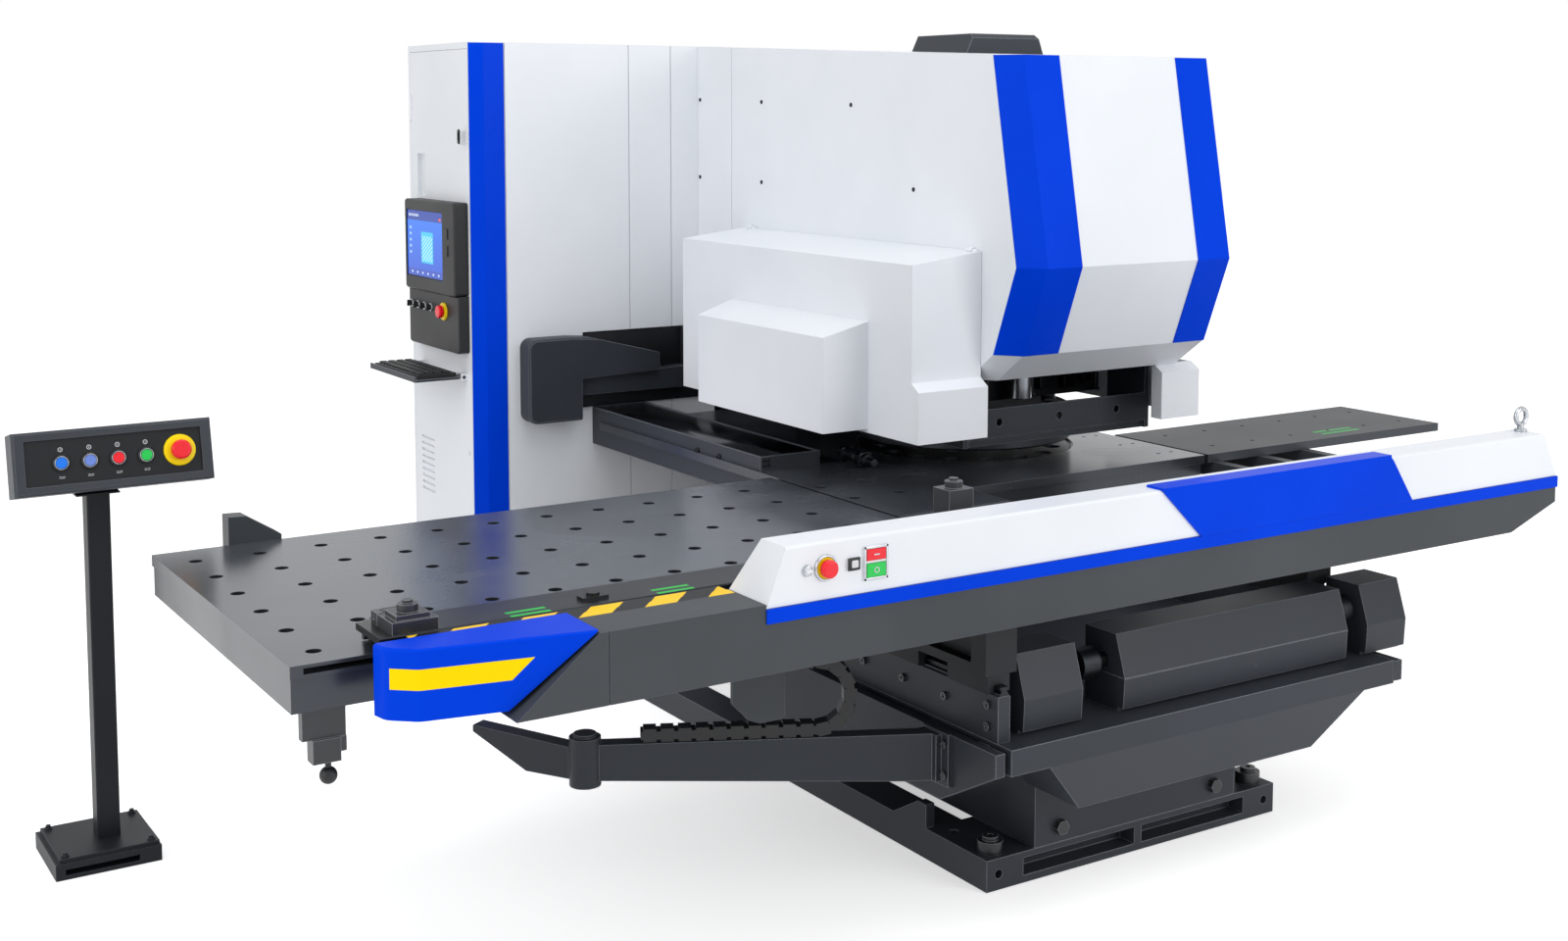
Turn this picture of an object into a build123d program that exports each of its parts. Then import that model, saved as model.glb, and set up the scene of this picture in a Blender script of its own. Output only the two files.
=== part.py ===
from build123d import *
import math
import os

os.makedirs("parts", exist_ok=True)

# Frame of the model: x runs along the cross beam, y from the operator to the back, z up.
# The origin lies on the floor at the centre of the anchor holes in the base frame.

# General
pass_line = 950.0          # height of the sheet over the floor
touch_gap = 0.3            # room between pieces that only lie close to each other
sheet_wall = 4.0           # thickness of folded covers
machine_top = 2400.0       # top of the cabinet and of the head's back

# Base frame
frame_width = 1120.0
frame_length = 3200.0
frame_height = 90.0
frame_side = 130.0         # width of the side members
frame_end = 280.0          # length of the solid front and rear members
frame_rear_width = 1900.0
frame_rear_length = 700.0
anchor_spacing_x = 1010.0
anchor_spacing_y = 2760.0
anchor_radius = 14.0
channel_depth = 60.0
channel_height = 50.0
channel_half = 430.0
channel_rib = 14.0
end_hole_radius = 13.0
end_hole_inset = 42.0
level_radius = 37.0
level_height = 34.0
level_inset = 55.0
level_rear_y = 600.0

# Saddle that carries the y guides
saddle_front = -1870.0
saddle_back = -560.0
saddle_left = -700.0
saddle_right = 770.0
saddle_top = 510.0
saddle_thickness = 70.0
saddle_end_gap = 15.0
saddle_end_thickness = 30.0
saddle_end_drop = 195.0    # depth of the end plate behind its sloping front
column_half = 390.0
column_back = -700.0
wedge_bottom_z = 280.0
wedge_top_inset = 130.0
wedge_bottom_inset = 285.0
wedge_back = -1600.0
wedge_foot_front = -1810.0

# Y guides
y_travel = 600.0
bar_width = 40.0
bar_height = 125.0
bar_front = -1814.0
bar_right_front = -1620.0
bar_right_x = 790.0
rail_width = 28.0
rail_height = 24.0
rail_waist = 5.0
block_width = 74.0
block_length = 170.0
block_height = 34.0
block_fit = 0.4
carrier_width = 104.0
carrier_front = -1800.0
carrier_back = -1310.0

# Drive under the beam
drive_front = -1803.0
drive_back = -1640.0
drive_seam_z = 605.0
drive_top_z = 722.0
drive_foot = 10.0
drive_long_left = -250.0
drive_long_right = 640.0
drive_left_left = -602.0
drive_left_right = -400.0
drive_right_left = 728.0
drive_right_right = 900.0
shaft_radius = 22.0
shaft_hub_radius = 44.0
shaft_hub_length = 60.0
shaft_fit = 0.05
shaft_z = 640.0
shaft_y = -1715.0

# Cross beam
beam_front = -1870.0
beam_back = -1700.0
beam_left = -2060.0
beam_right = 1520.0
beam_bottom = 832.0
beam_top = 1000.0
beam_cover_seat = 990.0
beam_end_rise = 74.0
beam_end_run = 216.0
shelf_back = -1490.0
shelf_top = 966.0
shelf_thickness = 10.0
shelf_left = -2200.0
cap_left = -2332.0
cap_right_top = -1872.0
cap_right_bottom = -2075.0
cap_back = -1705.0
cap_top = 1006.0
cap_bottom = 848.0
cap_nose = 120.0
cap_bow = 55.0
cover_left_bottom = -1441.0
cover_left_top = -1388.0
cover_right_top = 1452.0
cover_top = 1130.0
cover_back_top = -1762.0
cover_back_bottom = -1690.0
strip_height = 36.0
strip_proud = 5.0
panel_left_top = -178.0
panel_left_bottom = -44.0
panel_right_top = 735.0
panel_right_bottom = 824.0
panel_proud = 7.0
panel_lap = 60.0

# Tables
table_left = -2480.0
table_front = -1590.0
table_back = -390.0
table_right = -505.0
table_plate = 30.0
table_skirt = 60.0
table_inset = 4.0
ball_pitch_x = 171.0
ball_pitch_y = 195.0
ball_hole_radius = 18.0
ball_hole_depth = 16.0
ball_first_x = -2398.0
ball_first_y = -1500.0
plate_low = pass_line - table_plate
right_table_left = 1000.0
right_table_right = 2226.0
right_table_front = -865.0
centre_left = -490.0
centre_right = 985.0
centre_front = -865.0
centre_lip_front = -1085.0
centre_lip_right = -70.0
centre_back = 880.0

# Turret, ram and head
turret_x = 440.0
turret_y = -200.0
turret_radius = 385.0
turret_upper_low = 985.0
turret_upper_thickness = 110.0
turret_lower_top = 944.0
turret_lower_thickness = 90.0
station_circle = 318.0
station_count = 16
station_radius = 30.0
station_head = 26.0
turret_shaft_radius = 60.0
turret_fit = 0.05
ram_radius = 38.0
ram_fit = 0.05
ram_travel = 32.0
ram_low = 1150.0
punch_y = turret_y - station_circle
press_left = 160.0
press_right = 720.0
arm_low_top = 840.0
head_left = 0.0
head_right = 900.0
head_back = 1583.0
head_seat = 963.0
head_top_back = machine_top
head_fall = 79.0
head_top_front = head_top_back - head_fall
nose_top_y = -974.0
nose_mid_y = -1098.0
nose_mid_z = 1661.0
nose_low_y = -988.0
nose_low_z = 1377.0
under_back_y = -860.0
under_back_z = 1284.0
nose_chamfer_x = 60.0
nose_chamfer_y = 78.0
stripe_width = 140.0
stripe_proud = 4.0
head_wall = 8.0
side_low = 1110.0

# Side covers
side_out = 275.0
side_front = -850.0
side_back = 600.0
side_top_out = 1669.0
side_top_in = 1702.0
ledge_z = 1300.0
ledge_fall = 26.0
ledge_proud = 38.0
bulge_out = 450.0
bulge_front = -615.0
bulge_back = 240.0
bulge_low = 1122.0
bulge_top = 1430.0
bulge_slope_top = 1472.0
side_gap = 1.0
cover_hinge = (-9.0, side_top_in - 1)
cover_lug_width = 20.0
cover_lugs = (side_front + 30, side_back - 70)

# Control cabinet
cab_left = -969.0
cab_front = 963.0
cab_back = 1583.0
cab_top = machine_top
door_thickness = 24.0
door_front = 985.0
door_back = 1560.0
door_low = 110.0
door_high = cab_top - 25
trim_width = 136.0
trim_fold = 54.0
throat_recess = 44.0
throat_recess_left = -518.0
throat_recess_low = 1130.0
throat_recess_high = 1292.0
knuckle_pin = 8.0
knuckle_length = 50.0
door_knuckles = (door_low + 170, (door_low + door_high) / 2, door_high - 270)
panel_seam_1 = -310.0
panel_seam_2 = -124.0

# Operator pedestal
ped_x = -2540.0
ped_y = -10.0
ped_base = 290.0
ped_column = 64.0
ped_column_top = 1060.0
console_x = ped_x + 40
console_y = -42.0
console_z = 1163.0
console_length = 545.0
console_height = 178.0
console_depth = 92.0
console_tilt = 13.0
button_radius = 16.0
button_travel = 4.0
estop_radius = 28.0
estop_travel = 6.0


def block(x0, x1, y0, y1, z0, z1, mode=Mode.ADD):
    """A box between two corners."""
    with Locations(((x0 + x1) / 2, (y0 + y1) / 2, (z0 + z1) / 2)):
        Box(x1 - x0, y1 - y0, z1 - z0, mode=mode)


def side_prism(points, x0, x1, mode=Mode.ADD):
    """An outline of (y, z) points, drawn out from x0 to x1."""
    with BuildSketch(Plane.YZ.offset(x0)) as outline:
        with BuildLine():
            Polyline(*points, close=True)
        make_face()
    extrude(outline.sketch, amount=x1 - x0, mode=mode)


def front_prism(points, y0, y1, mode=Mode.ADD):
    """An outline of (x, z) points, drawn out from y0 to y1."""
    with BuildSketch(Plane.XZ.offset(-y1)) as outline:
        with BuildLine():
            Polyline(*points, close=True)
        make_face()
    extrude(outline.sketch, amount=y1 - y0, mode=mode)


def plan_prism(points, z0, z1, mode=Mode.ADD):
    """An outline of (x, y) points, drawn out from z0 to z1."""
    with BuildSketch(Plane.XY.offset(z0)) as outline:
        with BuildLine():
            Polyline(*points, close=True)
        make_face()
    extrude(outline.sketch, amount=z1 - z0, mode=mode)


def rod(plane, radius, length, mode=Mode.ADD):
    """A round bar that starts on a plane and runs along its normal."""
    with BuildSketch(plane) as disc:
        Circle(radius)
    extrude(disc.sketch, amount=length, mode=mode)


def save(piece, name):
    piece.part.label = name
    export_step(piece.part, "parts/" + name + ".step")
    print(name, round(piece.part.volume / 1e6, 3), "litres")


# Base frame, a welded frame with a channel along its front
half_width = frame_width / 2
half_length = frame_length / 2
frame_front = -half_length
window_back = half_length - frame_rear_length - 100

with BuildPart() as base_frame:
    block(-half_width, half_width, frame_front, half_length, 0, frame_height)
    block(-half_width + frame_side, half_width - frame_side, frame_front + frame_end, -200, 0, frame_height,
          mode=Mode.SUBTRACT)
    block(-half_width + frame_side, half_width - frame_side, -80, window_back, 0, frame_height,
          mode=Mode.SUBTRACT)
    block(-frame_rear_width / 2, frame_rear_width / 2, half_length - frame_rear_length, half_length,
          0, frame_height)
    for side in (-1, 1):
        x_mid = side * (channel_half + channel_rib) / 2
        block(x_mid - (channel_half - channel_rib) / 2, x_mid + (channel_half - channel_rib) / 2,
              frame_front, frame_front + channel_depth, 22, 22 + channel_height, mode=Mode.SUBTRACT)
        rod(Plane.XZ.offset(half_length).shift_origin((side * (half_width - end_hole_inset), frame_front, 45)),
            end_hole_radius, -70, mode=Mode.SUBTRACT)
        side_prism([(frame_front + frame_end, frame_height), (frame_front + frame_end + 160, frame_height),
                    (frame_front + frame_end + 40, frame_height + 70), (frame_front + frame_end, frame_height + 70)],
                   side * (half_width - 15) - 15, side * (half_width - 15) + 15)
    with Locations(Plane.XY.offset(frame_height)):
        with GridLocations(anchor_spacing_x, anchor_spacing_y, 2, 2):
            Hole(anchor_radius)
save(base_frame, "base_frame")

with BuildPart() as levelling_screws:
    for side_x in (-1, 1):
        for y_screw in (frame_front + level_inset, level_rear_y):
            spot = (side_x * (half_width - level_inset), y_screw, frame_height)
            rod(Plane(origin=spot), level_radius, level_height)
            rod(Plane(origin=spot), level_radius * 0.62, level_height + 12)
            rod(Plane(origin=(spot[0], spot[1], spot[2] + level_height + 12)), 9, -8, mode=Mode.SUBTRACT)
save(levelling_screws, "levelling_screws")

# Saddle, the welded block that holds the y guides in front of the press
saddle_low = saddle_top - saddle_thickness
saddle_mid = (saddle_left + saddle_right) / 2
end_left = saddle_left - saddle_end_gap - saddle_end_thickness

with BuildPart() as saddle:
    block(saddle_left, saddle_right, saddle_front, saddle_back, saddle_low, saddle_top)
    block(-column_half, column_half, frame_front, column_back, frame_height, saddle_low)
    with BuildSketch(Plane.XY.offset(saddle_low)) as wedge_top:
        with Locations((saddle_mid, (saddle_front + wedge_back) / 2)):
            Rectangle(saddle_right - saddle_left - 2 * wedge_top_inset, wedge_back - saddle_front)
    with BuildSketch(Plane.XY.offset(wedge_bottom_z)) as wedge_foot:
        with Locations((saddle_mid, (wedge_foot_front + wedge_back) / 2)):
            Rectangle(saddle_right - saddle_left - 2 * wedge_bottom_inset, wedge_back - wedge_foot_front)
    loft([wedge_top.sketch.face(), wedge_foot.sketch.face()])
    for x_start, slope in ((end_left, 1), (saddle_right + saddle_end_gap, 0)):
        drop = saddle_end_drop * slope + saddle_thickness * (1 - slope)
        side_prism([(saddle_front + 8, saddle_low + 2), (saddle_front + 8, saddle_top - 7),
                    (saddle_back, saddle_top - 7), (saddle_back, saddle_top - drop),
                    (saddle_front + 240, saddle_top - drop)],
                   x_start, x_start + saddle_end_thickness)
    for y_web in (saddle_front + 90, (saddle_front + saddle_back) / 2, saddle_back - 90):
        block(end_left, saddle_left, y_web, y_web + 40, saddle_low + 8, saddle_top - 14)
        block(saddle_right, saddle_right + saddle_end_gap, y_web, y_web + 40, saddle_low + 8, saddle_top - 14)
save(saddle, "saddle")

# Y guide bars with rails on top
bar_left_x = saddle_left
bar_top = saddle_top + bar_height
bar_left_mid = bar_left_x + bar_width / 2
bar_right_mid = bar_right_x - bar_width * 1.5
rail_top = bar_top + rail_height

with BuildPart() as y_bars:
    for x_mid, y_start in ((bar_left_mid, bar_front), (bar_right_mid, bar_right_front)):
        block(x_mid - bar_width / 2, x_mid + bar_width / 2, y_start, saddle_back, saddle_top, bar_top)
    chamfer(y_bars.edges().filter_by(Axis.Y).group_by(Axis.Z)[-1], 3)
save(y_bars, "y_bars")

with BuildPart() as y_rails:
    for x_mid, y_start in ((bar_left_mid, bar_front), (bar_right_mid, bar_right_front)):
        with BuildSketch(Plane.XZ.offset(-saddle_back)) as rail_section:
            with BuildLine():
                Polyline((x_mid - rail_width / 2, bar_top), (x_mid - rail_width / 2, bar_top + 7),
                         (x_mid - rail_width / 2 + rail_waist, bar_top + 11),
                         (x_mid - rail_width / 2 + rail_waist, bar_top + 15),
                         (x_mid - rail_width / 2, bar_top + 19), (x_mid - rail_width / 2, rail_top),
                         (x_mid + rail_width / 2, rail_top), (x_mid + rail_width / 2, bar_top + 19),
                         (x_mid + rail_width / 2 - rail_waist, bar_top + 15),
                         (x_mid + rail_width / 2 - rail_waist, bar_top + 11),
                         (x_mid + rail_width / 2, bar_top + 7), (x_mid + rail_width / 2, bar_top), close=True)
            make_face()
        extrude(rail_section.sketch, amount=saddle_back - y_start)
save(y_rails, "y_rails")

# Carriers that stand on the rails and hold the beam
carrier_low = rail_top + 12
with BuildPart() as y_carriers:
    for x_mid, y_start in ((bar_left_mid, carrier_front), (bar_right_mid, bar_right_front + 10)):
        block(x_mid - carrier_width / 2, x_mid + carrier_width / 2, y_start, carrier_back,
              carrier_low + 18, beam_bottom)
        for side in (-1, 1):
            x_pocket = x_mid + side * (carrier_width / 2 - 9)
            block(x_pocket - 20, x_pocket + 20, y_start + 60, carrier_back - 60,
                  carrier_low + 44, beam_bottom - 26, mode=Mode.SUBTRACT)
        if y_start > beam_back:
            block(x_mid - carrier_width / 2, x_mid + carrier_width / 2, beam_back - 60, y_start + 20,
                  beam_bottom - 26, beam_bottom)
        for y_block in (y_start + 10, carrier_back - 10 - block_length):
            block(x_mid - block_width / 2, x_mid + block_width / 2, y_block, y_block + block_length,
                  rail_top - block_height + 14, carrier_low + 18)
            block(x_mid - rail_width / 2 - block_fit, x_mid + rail_width / 2 + block_fit, y_block,
                  y_block + block_length, rail_top - block_height + 14, rail_top + block_fit, mode=Mode.SUBTRACT)
save(y_carriers, "y_carriers")

# Covers over the cross drive
def drive_outline(low, high):
    """Side outline of the folded drive covers between two heights."""
    face = [(drive_front + 5, saddle_top + drive_foot), (drive_front, drive_seam_z),
            (drive_front + 38, drive_top_z)]
    if low > drive_seam_z:
        return [(drive_front, low), face[2], (drive_back, high), (drive_back, low)]
    if high < drive_top_z:
        return [(drive_front + 25, low), (drive_front + 25, face[0][1]), face[0], (drive_front, high),
                (drive_back, high), (drive_back, low)]
    return [(drive_front + 25, low), (drive_front + 25, face[0][1]), face[0], face[1], face[2],
            (drive_back, high), (drive_back, low)]


inner_shrink = sheet_wall
with BuildPart() as drive_end_covers:
    for x0, x1 in ((drive_left_left, drive_left_right), (drive_right_left, drive_right_right)):
        side_prism(drive_outline(saddle_top, drive_top_z), x0, x1)
        block(x0 + inner_shrink, x1 - inner_shrink, drive_front + 44, drive_back - inner_shrink,
              saddle_top, drive_top_z - inner_shrink, mode=Mode.SUBTRACT)
    rod(Plane.YZ.offset(drive_left_right - 10).shift_origin((drive_left_right - 10, shaft_y, shaft_z)),
        shaft_radius + shaft_fit, 20, mode=Mode.SUBTRACT)
    rod(Plane.YZ.offset(drive_right_left - 10).shift_origin((drive_right_left - 10, shaft_y, shaft_z)),
        shaft_radius + shaft_fit, 20, mode=Mode.SUBTRACT)
save(drive_end_covers, "drive_end_covers")

with BuildPart() as drive_cover_lower:
    side_prism(drive_outline(saddle_top, drive_seam_z), drive_long_left, drive_long_right)
    block(drive_long_left + inner_shrink, drive_long_right - inner_shrink, drive_front + 44,
          drive_back - inner_shrink, saddle_top, drive_seam_z, mode=Mode.SUBTRACT)
    rod(Plane.XZ.offset(-drive_front - 4).shift_origin((260, drive_front + 4, 566)), 8, -14, mode=Mode.SUBTRACT)
save(drive_cover_lower, "drive_cover_lower")

seam_low = drive_seam_z + touch_gap
with BuildPart() as drive_cover_upper:
    side_prism(drive_outline(seam_low, drive_top_z), drive_long_left, drive_long_right)
    block(drive_long_left + inner_shrink, drive_long_right - inner_shrink, drive_front + 44,
          drive_back - inner_shrink, seam_low, drive_top_z - inner_shrink, mode=Mode.SUBTRACT)
    rod(Plane.YZ.offset(drive_long_left - 10).shift_origin((drive_long_left - 10, shaft_y, shaft_z)),
        shaft_radius + shaft_fit, 20, mode=Mode.SUBTRACT)
    rod(Plane.YZ.offset(drive_long_right - 10).shift_origin((drive_long_right - 10, shaft_y, shaft_z)),
        shaft_radius + shaft_fit, 20, mode=Mode.SUBTRACT)
save(drive_cover_upper, "drive_cover_upper")

shaft_start = drive_left_right - 60
shaft_end = drive_right_left + 60
with BuildPart() as drive_shaft:
    rod(Plane.YZ.offset(shaft_start).shift_origin((shaft_start, shaft_y, shaft_z)), shaft_radius,
        shaft_end - shaft_start)
    left_gap_mid = (drive_left_right + drive_long_left) / 2
    right_gap_mid = (drive_long_right + drive_right_left) / 2
    for x_mid in (left_gap_mid, right_gap_mid):
        x0 = x_mid - shaft_hub_length / 2
        rod(Plane.YZ.offset(x0).shift_origin((x0, shaft_y, shaft_z)), shaft_hub_radius, shaft_hub_length)
save(drive_shaft, "drive_shaft")

# Cable arm from the saddle's end plate, with its knuckle and energy chain
arm_root = (end_left - 12.0, -1612.0)
arm_tip = (-1552.0, -1216.0)
arm_run = math.hypot(arm_tip[0] - arm_root[0], arm_tip[1] - arm_root[1])
arm_dir = ((arm_tip[0] - arm_root[0]) / arm_run, (arm_tip[1] - arm_root[1]) / arm_run)
arm_top = 500.0
arm_root_height = 128.0
arm_tip_height = 96.0
arm_width = 50.0
knuckle_radius = 42.0
knuckle_low = 388.0
knuckle_high = 518.0
knuckle_at = (arm_tip[0] + 36 * arm_dir[0], arm_tip[1] + 36 * arm_dir[1])
arm_plane = Plane(origin=(arm_root[0], arm_root[1], 0), x_dir=(arm_dir[0], arm_dir[1], 0),
                  z_dir=(arm_dir[1], -arm_dir[0], 0))
fork_run = 340.0
fork_dir = (-0.519, 0.855)
fork_plane = Plane(origin=(knuckle_at[0], knuckle_at[1], 0), x_dir=(fork_dir[0], fork_dir[1], 0),
                   z_dir=(fork_dir[1], -fork_dir[0], 0))

with BuildPart() as cable_arm:
    with BuildSketch(arm_plane) as arm_side:
        with BuildLine():
            Polyline((0, arm_top), (arm_run, arm_top), (arm_run, arm_top - arm_tip_height),
                     (80, arm_top - arm_root_height), (0, arm_top - arm_root_height), close=True)
        make_face()
    extrude(arm_side.sketch, amount=arm_width / 2, both=True)
    block(end_left - 12, end_left, arm_root[1] - 66, arm_root[1] + 50, arm_top - 138, arm_top + 6)
    block(end_left - 30, end_left - 12, arm_root[1] - 36, arm_root[1] + 40, arm_top - arm_root_height, arm_top)
    rod(Plane(origin=(knuckle_at[0], knuckle_at[1], knuckle_low)), knuckle_radius, knuckle_high - knuckle_low)
    rod(Plane(origin=(knuckle_at[0], knuckle_at[1], knuckle_high)), knuckle_radius - 12, 9)
    with BuildSketch(fork_plane) as fork:
        with BuildLine():
            Polyline((knuckle_radius - 6, arm_top - 10), (fork_run, arm_top + 4), (fork_run, arm_top - 14),
                     (fork_run / 2, arm_top - arm_tip_height), (knuckle_radius - 6, arm_top - arm_tip_height), close=True)
        make_face()
    extrude(fork.sketch, amount=24, both=True)
save(cable_arm, "cable_arm")

chain_pitch = 46.0
chain_height = 36.0
chain_width = 44.0
chain_links = 10
chain_start = 110.0
chain_bend = 92.0
chain_low = arm_top + chain_height / 2 + 1.5
bend_links = 7
bend_at = arm_run - chain_start - chain_links * chain_pitch

with BuildPart() as energy_chain:
    link_spots = []
    for step in range(chain_links):
        link_spots.append((arm_run - chain_start - (step + 0.5) * chain_pitch, chain_low, 0))
    for step in range(bend_links):
        turn = math.pi * (step + 0.5) / bend_links
        link_spots.append((bend_at - chain_bend * math.sin(turn),
                           chain_low + chain_bend * (1 - math.cos(turn)), -math.degrees(turn)))
    for step in range(2):
        link_spots.append((bend_at + (step + 0.5) * chain_pitch, chain_low + 2 * chain_bend, 0))
    for along, height, turn in link_spots:
        with BuildSketch(arm_plane) as link_side:
            with Locations(Location((along, height), turn)):
                Rectangle(chain_pitch * 0.74, chain_height)
                Rectangle(chain_pitch * 1.06, chain_height * 0.62)
        extrude(link_side.sketch, amount=chain_width / 2, both=True)
save(energy_chain, "energy_chain")

# Bolts of the lower frame, in one group
bolt_head = 11.0
bolt_height = 9.0
with BuildPart() as frame_bolts:
    bar_face = bar_left_mid - bar_width / 2
    for y_bolt, z_bolt in ((-1774, 606), (-1774, 548), (-1590, 580), (-1400, 580), (-1210, 580)):
        rod(Plane(origin=(bar_face, y_bolt, z_bolt), z_dir=(-1, 0, 0)), bolt_head, bolt_height)
        rod(Plane(origin=(bar_face - bolt_height, y_bolt, z_bolt), z_dir=(-1, 0, 0)), 5, -5, mode=Mode.SUBTRACT)
    for z_bolt in (arm_top - 22, arm_top - 106):
        rod(Plane(origin=(end_left - 12, arm_root[1] - 52, z_bolt), z_dir=(-1, 0, 0)), bolt_head, bolt_height)
        rod(Plane(origin=(end_left - 12 - bolt_height, arm_root[1] - 52, z_bolt), z_dir=(-1, 0, 0)), 5, -5,
            mode=Mode.SUBTRACT)
    for x_bolt in (-300, 300):
        with BuildSketch(Plane.XZ.offset(-frame_front)) as hexagon:
            with Locations((x_bolt, frame_height + 46)):
                RegularPolygon(22, 6)
        extrude(hexagon.sketch, amount=18)
save(frame_bolts, "frame_bolts")

# Operator pedestal
ped_half = ped_base / 2
ped_mid = (ped_x - 24, ped_y + 6)
ped_foot = 46.0
ped_plate = 12.0

with BuildPart() as pedestal_base:
    block(ped_mid[0] - ped_half, ped_mid[0] + ped_half, ped_mid[1] - ped_half, ped_mid[1] + ped_half, 0, ped_foot)
    block(ped_mid[0] - ped_half + 26, ped_mid[0] + ped_half - 60, ped_mid[1] - ped_half,
          ped_mid[1] - ped_half + 40, 12, 30, mode=Mode.SUBTRACT)
    block(ped_mid[0] - ped_half + 12, ped_mid[0] + ped_half - 4, ped_mid[1] - ped_half + 8,
          ped_mid[1] + ped_half - 8, ped_foot, ped_foot + ped_plate)
    with Locations(Plane(origin=(ped_mid[0] + 4, ped_mid[1], ped_foot + ped_plate))):
        with GridLocations(ped_base - 54, ped_base - 54, 2, 2):
            Cylinder(11, 5, align=(Align.CENTER, Align.CENTER, Align.MIN))
            Cylinder(7, 12, align=(Align.CENTER, Align.CENTER, Align.MIN))
save(pedestal_base, "pedestal_base")

console_plane = Plane(origin=(console_x, console_y, console_z), x_dir=(1, 0, 0),
                      z_dir=(0, -math.cos(math.radians(console_tilt)), math.sin(math.radians(console_tilt))))
column_foot = ped_foot + ped_plate

with BuildPart() as console_housing:
    with BuildSketch(console_plane.offset(-console_depth / 2)) as console_outline:
        Rectangle(console_length, console_height)
    extrude(console_outline.sketch, amount=console_depth)
    chamfer(console_housing.faces().sort_by(Axis.Y)[0].edges(), 7)
    with BuildSketch(console_plane.offset(console_depth / 2 - 6)) as console_recess:
        Rectangle(console_length - 62, console_height - 50)
    extrude(console_recess.sketch, amount=10, mode=Mode.SUBTRACT)
    face_level = console_depth / 2 - 6
    for spot in (-145, -68, 9, 86):
        with BuildSketch(console_plane.offset(face_level)) as collar:
            with Locations((spot, -4)):
                Circle(button_radius + 5)
        extrude(collar.sketch, amount=5)
        with BuildSketch(console_plane.offset(face_level - 20)) as bore:
            with Locations((spot, -4)):
                Circle(button_radius + 0.4)
        extrude(bore.sketch, amount=30, mode=Mode.SUBTRACT)
    with BuildSketch(console_plane.offset(face_level)) as estop_collar:
        with Locations((180, 2)):
            Circle(40)
    extrude(estop_collar.sketch, amount=7, taper=12)
    with BuildSketch(console_plane.offset(face_level - 24)) as estop_bore:
        with Locations((180, 2)):
            Circle(12.4)
    extrude(estop_bore.sketch, amount=40, mode=Mode.SUBTRACT)
save(console_housing, "console_housing")

with BuildPart() as pedestal_column:
    block(ped_x - ped_column / 2, ped_x + ped_column / 2, ped_y - ped_column / 2, ped_y + ped_column / 2,
          column_foot, ped_column_top)
    fillet(pedestal_column.edges().filter_by(Axis.Z), 5)
    side_prism([(-42, ped_column_top), (22, ped_column_top), (22, 1172), (7.5, 1172), (-16.6, 1064.5), (-42, 1064.5)],
               ped_x - 60, ped_x + 60)
save(pedestal_column, "pedestal_column")

button_names = ("console_button_blue", "console_button_light", "console_button_red", "console_button_green")
for name, spot in zip(button_names, (-145, -68, 9, 86)):
    with BuildPart() as console_button:
        with BuildSketch(console_plane.offset(face_level - 12)) as stem:
            with Locations((spot, -4)):
                Circle(button_radius)
        extrude(stem.sketch, amount=12 + 5 + button_travel + 1)
        fillet(console_button.edges().filter_by(GeomType.CIRCLE).sort_by(Axis.Y)[0], 3)
    save(console_button, name)

with BuildPart() as console_estop:
    with BuildSketch(console_plane.offset(face_level - 14)) as stem:
        with Locations((180, 2)):
            Circle(12)
    extrude(stem.sketch, amount=14 + 7 + estop_travel + 10)
    with BuildSketch(console_plane.offset(face_level + 7 + estop_travel + 0.5)) as mushroom:
        with Locations((180, 2)):
            Circle(estop_radius)
    extrude(mushroom.sketch, amount=18)
    fillet(console_estop.edges().filter_by(GeomType.CIRCLE).sort_by(Axis.Y)[0], 7)
save(console_estop, "console_estop")

# Control cabinet
with BuildPart() as cabinet_shell:
    block(cab_left, head_left - touch_gap, cab_front, cab_back, frame_height, cab_top)
    block(cab_left - 1, cab_left + door_thickness + touch_gap, door_front - 1, door_back + 1,
          door_low - 1, door_high + 1, mode=Mode.SUBTRACT)
    block(cab_left + 60, head_left - 60, door_front + 20, door_back - 10, door_low + 60, door_high - 60,
          mode=Mode.SUBTRACT)
    block(cab_left, cab_left + 61, door_front + 40, door_back - 40, door_low + 60, door_high - 60,
          mode=Mode.SUBTRACT)
    rod(Plane(origin=(-anchor_spacing_x / 2, anchor_spacing_y / 2, frame_height)), 45, 100, mode=Mode.SUBTRACT)
    block(throat_recess_left, head_left, cab_front - 1, cab_front + throat_recess, throat_recess_low, throat_recess_high,
          mode=Mode.SUBTRACT)
    for seam in (panel_seam_1, panel_seam_2):
        block(seam - 2, seam + 2, cab_front - 1, cab_front + 5, 20, cab_top + 1, mode=Mode.SUBTRACT)
    block(cab_left + trim_width, cab_left + trim_width + 4, cab_front - 1, cab_front + 6, -1, cab_top + 1,
          mode=Mode.SUBTRACT)
    plan_prism([(cab_left - 1, cab_front - 1), (cab_left + trim_width, cab_front - 1),
                (cab_left + trim_width, cab_front + sheet_wall), (cab_left + trim_fold, cab_front + sheet_wall),
                (cab_left + sheet_wall, cab_front + 14), (cab_left + sheet_wall, door_front - 4),
                (cab_left - 1, door_front - 4)], -1, cab_top + 1, mode=Mode.SUBTRACT)
    for x_lug in (cab_left + 255, cab_left + 590):
        block(x_lug, x_lug + 40, cab_back - 90, cab_back - 50, cab_top, cab_top + 12)
    for z_knuckle in door_knuckles:
        rod(Plane(origin=(cab_left, door_back, z_knuckle - 1)), knuckle_pin + 1, knuckle_length + 2,
            mode=Mode.SUBTRACT)
        rod(Plane(origin=(cab_left, door_back, z_knuckle + knuckle_length + 1)), knuckle_pin, knuckle_length)
save(cabinet_shell, "cabinet_shell")

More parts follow.
